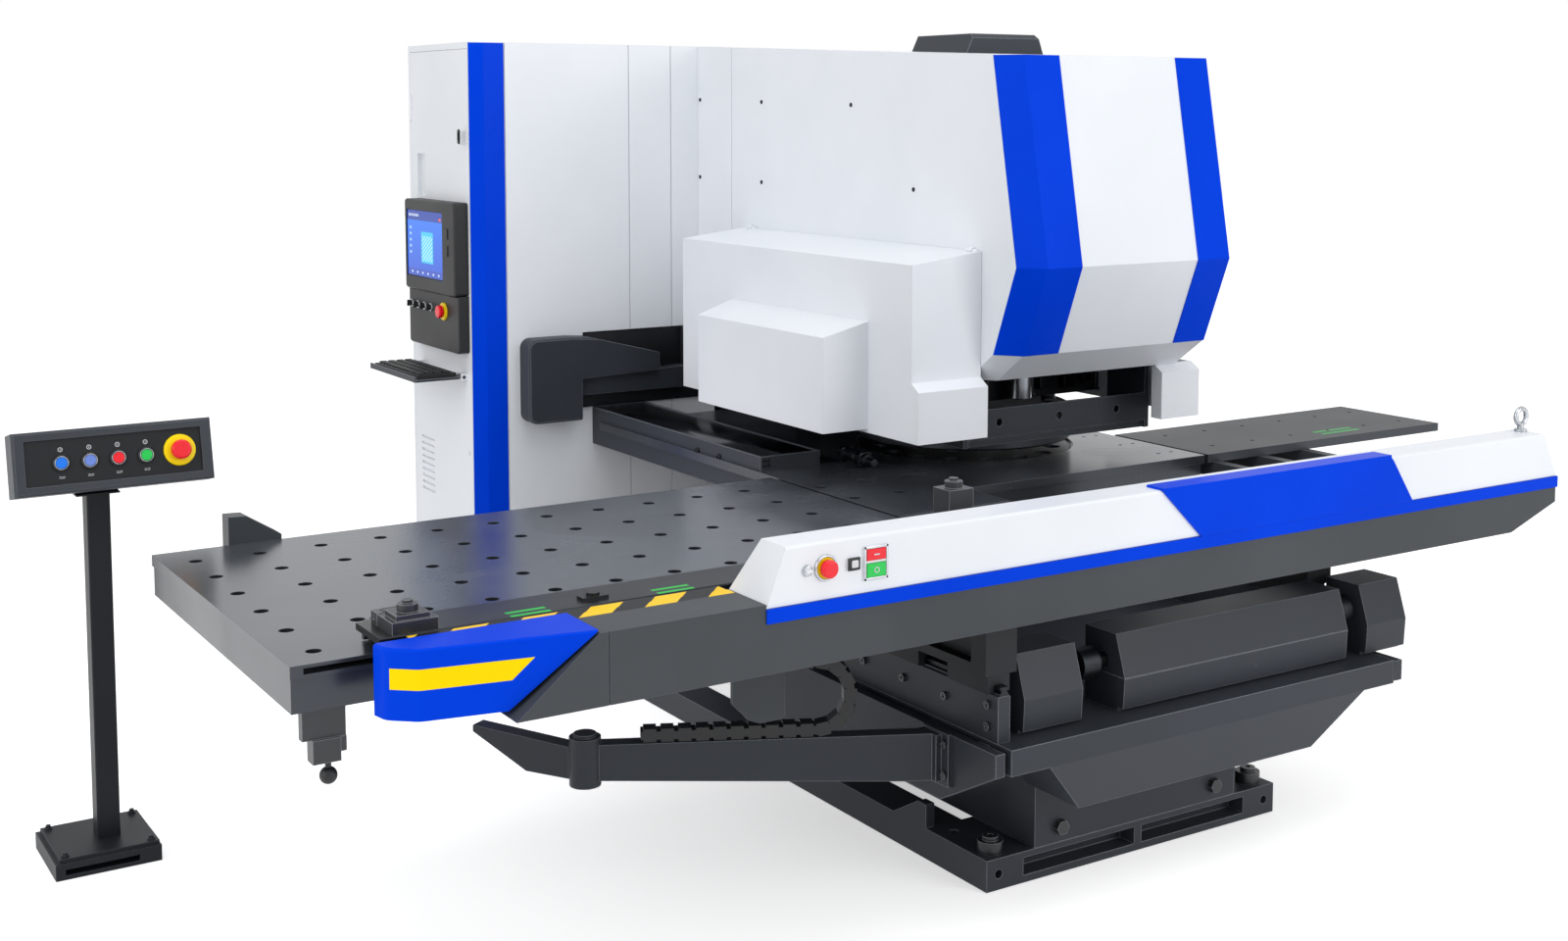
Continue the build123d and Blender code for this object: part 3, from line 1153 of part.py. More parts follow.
with BuildPart() as beam_estop:
    rod(Plane(origin=(estop_x, beam_front + 26, control_z), z_dir=(0, -1, 0)), 10, 42)
    rod(Plane(origin=(estop_x, beam_front - 4 - estop_travel - 0.5, control_z), z_dir=(0, -1, 0)), 22, 16)
    fillet(beam_estop.edges().filter_by(GeomType.CIRCLE).sort_by(Axis.Y)[0], 6)
save(beam_estop, "beam_estop")

for name, z_key, half in (("stop_button", stop_z, 14), ("start_button", start_z, 17)):
    with BuildPart() as key:
        block(switch_x - 28, switch_x + 28, beam_front - 5 - button_travel, beam_front + 14, z_key - half,
              z_key + half)
        chamfer(key.faces().sort_by(Axis.Y)[0].edges(), 2)
    save(key, name)

# Carriage with its clamps
bar_carriage_left = -2300.0
bar_carriage_right = -600.0
bar_carriage_low = 984.0
bar_carriage_top = 1000.0
clamp_1 = -2217.0
clamp_2 = -690.0
jaw_low = 953.0
with BuildPart() as carriage_bar:
    block(bar_carriage_left, bar_carriage_right, tape_back + 4, -1500, bar_carriage_low, bar_carriage_top)
    for x_runner in (-2120, -1450, -700):
        block(x_runner - 60, x_runner + 60, rail_front_y - 12, rail_back_y + 12, rail_x_top - 10, bar_carriage_low)
        block(x_runner - 61, x_runner + 61, rail_front_y - block_fit, rail_back_y + block_fit, rail_x_top - 11,
              rail_x_top + block_fit, mode=Mode.SUBTRACT)
    chamfer(carriage_bar.faces().sort_by(Axis.Z)[-1].edges().filter_by(Axis.X), 3)
    rod(Plane(origin=(-1756, -1600, bar_carriage_top)), 16, 16)
    block(-1790, -1722, -1616, -1584, bar_carriage_top, bar_carriage_top + 8)
save(carriage_bar, "carriage_bar")

with BuildPart() as clamp_bodies:
    for x_clamp, tall in ((clamp_1, 40.0), (clamp_2, 150.0)):
        block(x_clamp - 52, x_clamp + 56, tape_back + 8, -1556, bar_carriage_top, bar_carriage_top + 28)
        block(x_clamp - 40, x_clamp + 40, -1640, -1570, bar_carriage_top + 28, bar_carriage_top + tall)
        rod(Plane(origin=(x_clamp, -1605, bar_carriage_top + tall)), 24, 18)
        rod(Plane(origin=(x_clamp, -1605, bar_carriage_top + tall + 18)), 12, 8)
        for side in (-1, 1):
            block(x_clamp + side * 46 - 8, x_clamp + side * 46 + 8, -1556, -1520, bar_carriage_top,
                  bar_carriage_top + 30)
        block(x_clamp - 34, x_clamp + 34, -1486, -1440, jaw_low, jaw_low + 8)
        side_prism([(-1500, bar_carriage_low), (-1500, bar_carriage_top), (-1488, bar_carriage_top),
                    (-1474, jaw_low + 8), (-1474, jaw_low), (-1486, jaw_low), (-1486, bar_carriage_low)],
                   x_clamp - 60, x_clamp - 34)
        side_prism([(-1500, bar_carriage_low), (-1500, bar_carriage_top), (-1488, bar_carriage_top),
                    (-1474, jaw_low + 8), (-1474, jaw_low), (-1486, jaw_low), (-1486, bar_carriage_low)],
                   x_clamp + 34, x_clamp + 60)
    for x_clamp in (clamp_1, clamp_2):
        rod(Plane(origin=(x_clamp - 55, -1538, bar_carriage_top + 17), z_dir=(1, 0, 0)), 6.05, 120,
            mode=Mode.SUBTRACT)
save(clamp_bodies, "clamp_bodies")

for name, x_clamp in (("clamp_jaw_left", clamp_1), ("clamp_jaw_right", clamp_2)):
    with BuildPart() as jaw:
        side_prism([(-1552, 1006), (-1552, 1026), (-1520, 1030), (-1440, 986), (-1440, jaw_low + 10),
                    (-1472, jaw_low + 10), (-1480, 990), (-1500, 1006)], x_clamp - 32, x_clamp + 32)
        rod(Plane(origin=(x_clamp - 53, -1538, bar_carriage_top + 17), z_dir=(1, 0, 0)), 6, 106)
    save(jaw, name)
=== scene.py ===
# %% [markdown]
# # A turret punch press, dressed for a studio photograph
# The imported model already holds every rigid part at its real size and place.
# This lesson gives each part its finish, adds the small things that a maker sees,
# and sets up the camera and the light. Lengths are metres, x runs along the cross
# beam, y goes to the back and z is up.

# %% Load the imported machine
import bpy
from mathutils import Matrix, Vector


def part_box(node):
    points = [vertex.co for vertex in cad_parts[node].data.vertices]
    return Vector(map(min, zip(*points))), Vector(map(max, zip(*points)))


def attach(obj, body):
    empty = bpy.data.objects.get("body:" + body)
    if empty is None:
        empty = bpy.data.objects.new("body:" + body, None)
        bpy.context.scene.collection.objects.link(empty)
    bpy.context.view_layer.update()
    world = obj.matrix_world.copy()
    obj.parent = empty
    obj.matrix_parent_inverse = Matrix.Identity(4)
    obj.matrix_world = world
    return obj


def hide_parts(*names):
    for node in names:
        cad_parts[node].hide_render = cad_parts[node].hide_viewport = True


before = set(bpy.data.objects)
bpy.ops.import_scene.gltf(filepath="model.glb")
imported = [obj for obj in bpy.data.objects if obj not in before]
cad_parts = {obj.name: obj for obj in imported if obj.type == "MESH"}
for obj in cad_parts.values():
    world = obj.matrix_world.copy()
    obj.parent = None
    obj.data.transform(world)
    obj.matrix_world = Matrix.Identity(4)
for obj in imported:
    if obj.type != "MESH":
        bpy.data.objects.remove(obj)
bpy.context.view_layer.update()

import math
import bmesh
import bpy
from mathutils import Matrix, Vector

# %% [markdown]
# ## One function for nodes, one for colours
# A finish is a small network of shader nodes. Adding a node takes four lines when
# written out, so one helper does it: it makes the node, sets its settings, fills its
# inputs and links what feeds it. Colours are written as the hex values a designer
# reads off a sample card, and Blender wants them linear, so a second helper turns them.

# %% The node and colour helpers
def add(tree, kind, settings=None, values=None, links=None):
    node = tree.nodes.new(kind)
    for name, value in (settings or {}).items():
        setattr(node, name, value)
    for socket, value in (values or {}).items():
        node.inputs[socket].default_value = value
    for socket, source in (links or {}).items():
        tree.links.new(source, node.inputs[socket])
    return node


def linear(code):
    parts = [int(code[i:i + 2], 16) / 255 for i in (1, 3, 5)]
    flat = [c / 12.92 if c <= 0.04045 else ((c + 0.055) / 1.055) ** 2.4 for c in parts]
    return (*flat, 1.0)


print("white card", [round(c, 3) for c in linear("#E6E9EE")[:3]])

# %% [markdown]
# ## Powder coat and lacquer
# Most of the machine is sheet steel with a baked powder coat. Powder melts into a
# skin with a faint orange peel, a few millimetres from crest to crest, and the tone
# drifts a little over a large panel. Both come from noise read at real scale. A mix
# of two close colours gives the drift, and a low bump gives the orange peel. Folded
# edges are never sharp: a Bevel node rounds the shading over a few millimetres, and where
# it bends the normal most, a lighter colour is painted in as an edge highlight.

# %% A maker of coated finishes
def coat(name, light, dark, roughness, peel_mm=2.6, peel=0.06, specular=0.5, clear=0.0,
         edge="#FFFFFF", edge_highlight=0.0, fold_mm=2.0):
    material = bpy.data.materials.new(name)
    material.use_nodes = True
    tree = material.node_tree
    shader = tree.nodes["Principled BSDF"]
    shader.inputs["Coat Weight"].default_value = clear
    shader.inputs["Coat Roughness"].default_value = 0.12
    shader.inputs["Specular IOR Level"].default_value = specular
    place = add(tree, "ShaderNodeTexCoord")
    drift = add(tree, "ShaderNodeTexNoise", values={"Scale": 1.7, "Detail": 4.0},
                links={"Vector": place.outputs["Object"]})
    tone = add(tree, "ShaderNodeValToRGB", links={"Fac": drift.outputs["Fac"]})
    tone.color_ramp.elements[0].position = 0.35
    tone.color_ramp.elements[0].color = linear(dark)
    tone.color_ramp.elements[1].position = 0.65
    tone.color_ramp.elements[1].color = linear(light)
    rounded = add(tree, "ShaderNodeBevel", {"samples": 4}, {"Radius": fold_mm / 1000})
    flat = add(tree, "ShaderNodeNewGeometry")
    turn = add(tree, "ShaderNodeVectorMath", {"operation": "DOT_PRODUCT"},
               links={0: rounded.outputs["Normal"], 1: flat.outputs["True Normal"]})
    # Where the rounded normal turns from the flat one, the edge colour is mixed in as a painted
    # highlight.
    fold = add(tree, "ShaderNodeMapRange",
               values={"From Min": 0.97, "From Max": 0.8, "To Max": edge_highlight},
               links={"Value": turn.outputs["Value"]})
    edge_highlit = add(tree, "ShaderNodeMix", {"data_type": "RGBA"}, {"B": linear(edge)},
               {0: fold.outputs["Result"], "A": tone.outputs["Color"]})
    tree.links.new(edge_highlit.outputs["Result"], shader.inputs["Base Color"])
    gloss = add(tree, "ShaderNodeMapRange",
                values={"From Min": 0.3, "From Max": 0.7, "To Min": roughness * 0.85,
                        "To Max": roughness * 1.2}, links={"Value": drift.outputs["Fac"]})
    tree.links.new(gloss.outputs["Result"], shader.inputs["Roughness"])
    grain = add(tree, "ShaderNodeTexNoise", values={"Scale": 1000 / peel_mm, "Detail": 2.0},
                links={"Vector": place.outputs["Object"]})
    bump = add(tree, "ShaderNodeBump", values={"Strength": peel, "Distance": 0.0006},
               links={"Height": grain.outputs["Fac"], "Normal": rounded.outputs["Normal"]})
    tree.links.new(bump.outputs["Normal"], shader.inputs["Normal"])
    return material


white_coat = coat("white_powder_coat", "#E8EBF0", "#E2E6EB", 0.34, specular=0.25)
# The edge colours given to these coats are painted highlights along the folds.
blue = dict(light="#0040DC", dark="#003CD2", roughness=0.28, specular=0.03, edge="#2A66F0",
            edge_highlight=0.5)
blue_coat = coat("blue_gloss_lacquer", **blue)
frame_coat = coat("charcoal_powder_coat", "#353940", "#2E3238", 0.42, peel=0.16, specular=0.2,
                  edge="#A4AAB2", edge_highlight=0.9, fold_mm=4.0)
grey = dict(light="#42464A", dark="#3A3E42", roughness=0.4, peel=0.12, specular=0.2, edge="#9096A0",
            edge_highlight=0.7)
beam_coat = coat("grey_powder_coat", **grey)
black_plastic = coat("black_abs_moulded", "#1B1C1F", "#131416", 0.45, peel_mm=1.2, peel=0.2,
                     specular=0.4, edge="#3A3C40", edge_highlight=0.5)
yellow_coat = coat("yellow_lacquer", "#FBDB07", "#F2D006", 0.3, specular=0.2)
red_plastic = coat("red_polycarbonate", "#F01427", "#E01022", 0.22, specular=0.3, clear=0.2)
green_plastic = coat("green_polycarbonate", "#12C850", "#0EBA48", 0.22, specular=0.3, clear=0.2)
blue_plastic = coat("blue_polycarbonate", "#0B7CF2", "#0A70E4", 0.2, specular=0.3, clear=0.2)
pale_blue_plastic = coat("pale_blue_polycarbonate", "#6E8BD8", "#5C79CC", 0.2, specular=0.3,
                         clear=0.2)
label_white = coat("white_screen_print", "#D8DADD", "#C8CACD", 0.5)
matt_black = coat("matt_black_foil", "#232529", "#1C1E21", 0.5, specular=0.2)
painted = [m for m in bpy.data.materials if m.name.endswith(("coat", "lacquer"))]
print("coated finishes", len(painted))

# %% [markdown]
# ## Brushed and ground steel
# The table plates are rolled steel, brushed along the beam and darkened by an oil
# film, so they mirror the white cabinet softly. Real brush marks are 0.1 mm apart.
# That is too fine to show here, so they are drawn about 2 mm apart and very long in x.
# Metals keep the default IOR, and their colour is the colour of the metal.

# %% A maker of bare metal finishes
def metal(name, light, dark, roughness, stretch=(6.0, 480.0, 480.0), metallic=0.9, marks=0.1,
          smear=0.14):
    material = bpy.data.materials.new(name)
    material.use_nodes = True
    tree = material.node_tree
    shader = tree.nodes["Principled BSDF"]
    shader.inputs["Metallic"].default_value = metallic
    place = add(tree, "ShaderNodeTexCoord")
    long_marks = add(tree, "ShaderNodeMapping", values={"Scale": stretch},
                     links={"Vector": place.outputs["Object"]})
    brush = add(tree, "ShaderNodeTexNoise", values={"Scale": 1.0, "Detail": 3.0},
                links={"Vector": long_marks.outputs["Vector"]})
    oil = add(tree, "ShaderNodeTexNoise", values={"Scale": 2.3, "Detail": 5.0, "Distortion": 0.4},
              links={"Vector": place.outputs["Object"]})
    both = add(tree, "ShaderNodeMath", {"operation": "MULTIPLY_ADD"}, {1: 0.35},
               {0: brush.outputs["Fac"], 2: oil.outputs["Fac"]})
    tone = add(tree, "ShaderNodeValToRGB", links={"Fac": both.outputs["Value"]})
    tone.color_ramp.elements[0].position = 0.45
    tone.color_ramp.elements[0].color = linear(dark)
    tone.color_ramp.elements[1].position = 0.9
    tone.color_ramp.elements[1].color = linear(light)
    tree.links.new(tone.outputs["Color"], shader.inputs["Base Color"])
    gloss = add(tree, "ShaderNodeMapRange",
                values={"From Min": 0.3, "From Max": 0.7, "To Min": roughness,
                        "To Max": roughness + smear}, links={"Value": oil.outputs["Fac"]})
    tree.links.new(gloss.outputs["Result"], shader.inputs["Roughness"])
    rounded = add(tree, "ShaderNodeBevel", {"samples": 4}, {"Radius": 0.0015})
    bump = add(tree, "ShaderNodeBump", values={"Strength": marks, "Distance": 0.0004},
               links={"Height": brush.outputs["Fac"], "Normal": rounded.outputs["Normal"]})
    tree.links.new(bump.outputs["Normal"], shader.inputs["Normal"])
    return material


table_steel = metal("oiled_brushed_steel", "#666B72", "#484D54", 0.2, metallic=0.5, smear=0.1)
bright_steel = metal("ground_steel", "#C4C7CB", "#A4A8AD", 0.2)
dark_steel = metal("blackened_steel", "#34373B", "#1E2023", 0.34, stretch=(300.0, 300.0, 300.0))
lid_steel = metal("polished_black_steel", "#3A3E44", "#26292E", 0.14, smear=0.08)
turret_iron = metal("machined_cast_iron", "#4C4F54", "#35383C", 0.34, stretch=(90.0, 90.0, 500.0))
print("bare metals", table_steel.name, bright_steel.name, dark_steel.name, turret_iron.name)

# %% [markdown]
# ## Paint that changes by place
# The yellow flash on the blue nose and the black and yellow stripes beside it are
# painted or taped on, with no thickness worth modelling. The pattern can be read from
# Object coordinates, because each part's mesh stands in its real place. A mask is 1
# inside a range and 0 outside, and masks are multiplied together.

# %% A colour laid over a finish inside a range
ACROSS, DEEP, UPWARD = (1.0, 0.0, 0.0), (0.0, 1.0, 0.0), (0.0, 0.0, 1.0)


def lay_over(material, code, ranges, slant=None, width=None, share=0.5, socket="Base Color"):
    tree = material.node_tree
    shader = tree.nodes["Principled BSDF"]
    below = shader.inputs[socket].links[0].from_socket
    place = add(tree, "ShaderNodeTexCoord")
    mask = None
    for direction, low, high in ranges:
        along = add(tree, "ShaderNodeVectorMath", {"operation": "DOT_PRODUCT"}, {1: direction},
                    {0: place.outputs["Object"]})
        inside = add(tree, "ShaderNodeMath", {"operation": "COMPARE"},
                     {1: (low + high) / 2, 2: (high - low) / 2}, {0: along.outputs["Value"]})
        if mask is None:
            mask = inside.outputs[0]
        else:
            both = add(tree, "ShaderNodeMath", {"operation": "MULTIPLY"},
                       links={0: mask, 1: inside.outputs[0]})
            mask = both.outputs[0]
    if width:
        along = add(tree, "ShaderNodeVectorMath", {"operation": "DOT_PRODUCT"}, {1: slant},
                    {0: place.outputs["Object"]})
        step = add(tree, "ShaderNodeMath", {"operation": "PINGPONG"}, {1: width},
                   {0: along.outputs["Value"]})
        stripe = add(tree, "ShaderNodeMath", {"operation": "GREATER_THAN"},
                     {1: width * (1 - share)}, {0: step.outputs[0]})
        both = add(tree, "ShaderNodeMath", {"operation": "MULTIPLY"},
                   links={0: mask, 1: stripe.outputs[0]})
        mask = both.outputs[0]
    mix = add(tree, "ShaderNodeMix", {"data_type": "RGBA"}, {"B": linear(code)},
              {0: mask, "A": below})
    tree.links.new(mix.outputs["Result"], shader.inputs[socket])


nose_lacquer = coat("blue_lacquer_with_yellow_flash", **blue)
flash_slant = (1.0, 0.0, -1.1)
flash = [(UPWARD, 0.916, 0.962), (ACROSS, -2.316, -1.8), (flash_slant, -4.0, -3.075)]
lay_over(nose_lacquer, "#FBDB07", flash)
beam_finish = coat("grey_coat_with_hazard_tape", **grey)
tape = [(ACROSS, -2.30, -1.445), (DEEP, -1.735, -1.658), (UPWARD, 0.9965, 1.01)]
tape_slant, tape_step = (1.0, -0.9, 0.0), 0.085
lay_over(beam_finish, "#141517", tape)
lay_over(beam_finish, "#FBCB07", tape, tape_slant, tape_step)
bar_finish = metal("blackened_steel_with_green_scales", "#34373B", "#1E2023", 0.3,
                   stretch=(300.0, 300.0, 300.0))
scale_length, scale_width = 0.10, 0.014
for start in (-1.985, -1.605):
    for line in (-1.648, -1.618):
        scale = [(ACROSS, start, start + scale_length), (DEEP, line, line + scale_width),
                 (UPWARD, 0.995, 1.002)]
        lay_over(bar_finish, "#12D246", scale)
# Below the top face, the sides of the table plates are drawn darker.
plate_sides = [(UPWARD, 0.0, 0.9488)]
lay_over(table_steel, "#3A3E44", plate_sides)
# The right plate is the table steel drawn darker and rougher, a painted shade where it lies in the
# cabinet's shadow.
shaded_right_table_steel = metal("oiled_brushed_steel_with_green_scale", "#3C4045", "#2A2D31", 0.42,
                          metallic=0.5, smear=0.1)
lay_over(shaded_right_table_steel, "#3A3E44", plate_sides)
for line in (-0.80, -0.76):
    lay_over(shaded_right_table_steel, "#12B246",
             [(ACROSS, 1.66, 1.86), (DEEP, line, line + 0.016), (UPWARD, 0.949, 0.951)])
# The bright edges of this coat and the two below are painted highlights along the folds.
edged_steel = coat("blackened_steel_with_bright_edges", "#26292D", "#191B1E", 0.32, peel=0.1,
                   specular=0.5, edge="#B4B8BE", edge_highlight=0.9, fold_mm=3.0)
pillar_coat = coat("dark_powder_coat", "#222529", "#1C1E22", 0.42, peel=0.16, specular=0.15,
                   edge="#7A8088", edge_highlight=0.6)
console_finish = coat("charcoal_coat_with_black_foil", "#3E4248", "#363A40", 0.45, peel=0.16,
                      specular=0.2, edge="#9AA0A8", edge_highlight=0.7)
console_up, console_out = (0.0, 0.22495, 0.97437), (0.0, -0.97437, 0.22495)
lay_over(console_finish, "#1E2023",
         [(ACROSS, -2.7425, -2.2575), (console_up, 1.0595, 1.1885), (console_out, 0.30, 0.3436)])
print("painted patterns", nose_lacquer.name, beam_finish.name)

# %% [markdown]
# ## The lit display
# The display shows a generic page: a header, a column of keys, a panel with a plan of
# the sheet and a footer. It gives its own light, so the page is laid over Emission.

# %% The display's page
screen_glass = bpy.data.materials.new("lit_display_glass")
screen_glass.use_nodes = True
tree = screen_glass.node_tree
shader = tree.nodes["Principled BSDF"]
shader.inputs["Base Color"].default_value = linear("#05070C")
shader.inputs["Roughness"].default_value = 0.12
shader.inputs["Specular IOR Level"].default_value = 0.3
shader.inputs["Emission Strength"].default_value = 1.0
page_place = add(tree, "ShaderNodeTexCoord")
page_axes = add(tree, "ShaderNodeSeparateXYZ", links={"Vector": page_place.outputs["Object"]})
page_fade = add(tree, "ShaderNodeMapRange", values={"From Min": 1.506, "From Max": 1.76},
                links={"Value": page_axes.outputs["Z"]})
page = add(tree, "ShaderNodeMix", {"data_type": "RGBA"},
           {"A": linear("#0A4FD2"), "B": linear("#0E7BF6")}, {0: page_fade.outputs["Result"]})
tree.links.new(page.outputs["Result"], shader.inputs["Emission Color"])
full = (DEEP, 1.118, 1.478)
lay_over(screen_glass, "#0A3CA6", [full, (UPWARD, 1.722, 1.76)], socket="Emission Color")
lay_over(screen_glass, "#DCEBFF", [(DEEP, 1.36, 1.462), (UPWARD, 1.737, 1.747)], DEEP, 0.006, 0.55,
         "Emission Color")
lay_over(screen_glass, "#F0503C", [(DEEP, 1.135, 1.155), (UPWARD, 1.728, 1.738)],
         socket="Emission Color")
lay_over(screen_glass, "#2FC4EC", [(DEEP, 1.215, 1.335), (UPWARD, 1.560, 1.680)],
         socket="Emission Color")
lay_over(screen_glass, "#BDF2F6", [(DEEP, 1.222, 1.328), (UPWARD, 1.568, 1.664)], (0.0, 0.6, 1.0),
         0.008, 0.4, "Emission Color")
lay_over(screen_glass, "#9CCBFF", [(DEEP, 1.435, 1.455), (UPWARD, 1.58, 1.70)], UPWARD, 0.012, 0.4,
         "Emission Color")
lay_over(screen_glass, "#0B46BE", [full, (UPWARD, 1.506, 1.534)], socket="Emission Color")
lay_over(screen_glass, "#CFE4FF", [(DEEP, 1.14, 1.46), (UPWARD, 1.516, 1.524)], DEEP, 0.027, 0.25,
         "Emission Color")
print("display page laid over", screen_glass.name)

# %% [markdown]
# ## Give every CAD part its finish
# A part keeps the mesh it was packed with and only gets a better material, by
# writing it into the slots of its object.

# %% Parts by finish
finishes = {
    white_coat: ["cabinet_shell", "cabinet_door", "head_shell", "side_cover_left",
                 "side_cover_right", "beam_cover"],
    blue_coat: ["cabinet_trim", "nose_stripes", "beam_panel"],
    nose_lacquer: ["nose_cap"],
    beam_finish: ["beam_body"],
    bar_finish: ["carriage_bar"],
    shaded_right_table_steel: ["right_table"],
    console_finish: ["console_housing"],
    pillar_coat: ["pedestal_base", "pedestal_column"],
    matt_black: ["y_carriers"],
    screen_glass: ["display_screen"],
    beam_coat: ["rail_box"],
    frame_coat: ["base_frame", "saddle", "y_bars", "drive_end_covers", "drive_cover_lower",
                 "drive_cover_upper", "cable_arm", "keyboard_tray", "throat_cover",
                 "press_frame", "roof_box", "turret_guard"],
    table_steel: ["left_table", "centre_table"],
    bright_steel: ["x_rail", "ram", "eyebolt"],
    dark_steel: ["y_rails", "drive_shaft"],
    edged_steel: ["levelling_screws", "frame_bolts", "latch_bracket", "clamp_bodies",
                  "clamp_jaw_left", "clamp_jaw_right"],
    turret_iron: ["upper_turret", "lower_turret"],
    black_plastic: ["energy_chain", "display_bezel", "switch_panel", "keyboard", "latch_knob"],
    red_plastic: ["console_button_red", "console_estop", "cabinet_estop", "beam_estop",
                  "stop_button"],
    green_plastic: ["console_button_green", "start_button"],
    blue_plastic: ["console_button_blue"],
    pale_blue_plastic: ["console_button_light"],
}
dressed = 0
for finish, names in finishes.items():
    for name in names:
        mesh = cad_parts[name].data
        mesh.materials.clear()
        mesh.materials.append(finish)
        dressed += 1
print("dressed", dressed, "of", len(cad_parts), "nodes")

# %% [markdown]
# ## Tools for turned and cut pieces
# Small hardware is either turned, like a ring or a screw head, or cut from plate, like
# a frame or a bracket. A turned form is a half outline spun round its axis; a cut form
# is an outline raised to its thickness with its edges broken. Each form is made lying
# on the origin, and a matrix stands it on the surface that carries it. A profile that
# starts on the axis makes a solid, and any other closes into a ring, so no form is left
# open. Several forms with one finish become one piece.

# %% Turned, cut and gathered forms
def turned(profile, steps=36):
    solid = profile[0][0] == 0.0
    if solid and profile[-1][0] > 0.0:
        profile = profile + [(0.0, profile[-1][1])]
    shape = bmesh.new()
    line = [shape.verts.new((radius, 0.0, height)) for radius, height in profile]
    pairs = list(zip(line, line[1:])) + ([] if solid else [(line[-1], line[0])])
    edges = [shape.edges.new(pair) for pair in pairs]
    bmesh.ops.spin(shape, geom=line + edges, axis=(0, 0, 1), cent=(0, 0, 0), angle=math.tau,
                   steps=steps, use_merge=True)
    bmesh.ops.remove_doubles(shape, verts=shape.verts, dist=1e-6)
    bmesh.ops.recalc_face_normals(shape, faces=shape.faces)
    return shape


def cut(outline, depth, edge=0.0):
    shape = bmesh.new()
    face = shape.faces.new([shape.verts.new((x, y, 0.0)) for x, y in outline])
    raised = bmesh.ops.extrude_face_region(shape, geom=[face])
    top = [v for v in raised["geom"] if isinstance(v, bmesh.types.BMVert)]
    bmesh.ops.translate(shape, verts=top, vec=(0.0, 0.0, depth))
    bmesh.ops.recalc_face_normals(shape, faces=shape.faces)
    if edge:
        bmesh.ops.bevel(shape, geom=list(shape.edges), offset=edge, segments=2, profile=0.5,
                        affect="EDGES", material=-1)
    return shape


def box_outline(width, height, radius=0.0, steps=6):
    if not radius:
        return [(-width / 2, -height / 2), (width / 2, -height / 2), (width / 2, height / 2),
                (-width / 2, height / 2)]
    points = []
    for corner, (sx, sy) in enumerate(((1, -1), (1, 1), (-1, 1), (-1, -1))):
        for step in range(steps + 1):
            angle = math.radians(90 * (corner - 1) + 90 * step / steps)
            points.append((sx * (width / 2 - radius) + radius * math.cos(angle),
                           sy * (height / 2 - radius) + radius * math.sin(angle)))
    return points


def stand(centre, out, up=UPWARD):
    out = Vector(out).normalized()
    right = Vector(up).cross(out).normalized()
    turn = Matrix((right, out.cross(right), out)).transposed()
    return Matrix.Translation(centre) @ turn.to_4x4()


def gather(name, forms, finish, body):
    whole = bmesh.new()
    for shape, place in forms:
        bmesh.ops.transform(shape, matrix=place, verts=shape.verts)
        bit = bpy.data.meshes.new("bit")
        shape.to_mesh(bit)
        shape.free()
        whole.from_mesh(bit)
        bpy.data.meshes.remove(bit)
    mesh = bpy.data.meshes.new(name)
    whole.to_mesh(mesh)
    whole.free()
    mesh.polygons.foreach_set("use_smooth", [True] * len(mesh.polygons))
    mesh.set_sharp_from_angle(angle=math.radians(32))
    mesh.materials.append(finish)
    piece = bpy.data.objects.new(name, mesh)
    bpy.context.scene.collection.objects.link(piece)
    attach(piece, body)
    return piece


def at(plane, across, above, out=0.0):
    return plane @ Matrix.Translation((across, above, out))


print("a spun ring has", len(turned([(0.01, 0.0), (0.012, 0.0), (0.012, 0.002)]).faces), "faces")

# %% [markdown]
# ## The operator's console
# Each key sits in a black seat with a bright bezel, and a pair of printed marks stands
# over and under it. The emergency stop has a wide yellow disc that shows where to hit.

# %% Bezels, marks and the yellow disc
console = stand(Vector((-2.5, -0.042, 1.163)) + Vector(console_out) * 0.040, console_out)
keys = (-0.145, -0.068, 0.009, 0.086)
seat = [(0.0185, 0.0), (0.0185, 0.0075), (0.0205, 0.0085), (0.0235, 0.0060), (0.0240, 0.0)]
bezel = [(0.0168, 0.0052), (0.0168, 0.0098), (0.0176, 0.0108), (0.0188, 0.0102), (0.0190, 0.0070)]
gather("console_key_seats", [(turned(seat), at(console, key, -0.004)) for key in keys],
       black_plastic, "machine")
gather("console_key_bezels", [(turned(bezel), at(console, key, -0.004)) for key in keys],
       bright_steel, "machine")
disc = [(0.0130, 0.0071), (0.0385, 0.0073), (0.0430, 0.0062), (0.0452, 0.0035), (0.0455, 0.0)]
gather("console_stop_disc", [(turned(disc, 56), at(console, 0.18, 0.002))], yellow_coat, "machine")
marks = []
for key in keys:
    marks.append((turned([(0.0046, 0.0), (0.0046, 0.0003), (0.0066, 0.0003), (0.0066, 0.0)]),
                  at(console, key, 0.034)))
    marks.append((cut(box_outline(0.0018, 0.0050), 0.0003), at(console, key, 0.034)))
    marks.append((cut(box_outline(0.0070, 0.0014), 0.0003), at(console, key - 0.004, -0.042)))
    marks.append((cut(box_outline(0.0070, 0.0014), 0.0003), at(console, key + 0.005, -0.042)))
    marks.append((cut(box_outline(0.0150, 0.0014), 0.0003), at(console, key, -0.046)))
gather("console_key_marks", marks, label_white, "machine")
print("console dressed with", len(keys), "keys")

# %% [markdown]
# ## The cabinet's switch panel
# The four selector switches have a bright rim and a lever with a white pointer. The
# emergency stop stands on a yellow disc too, and the door's edge has a small lock.

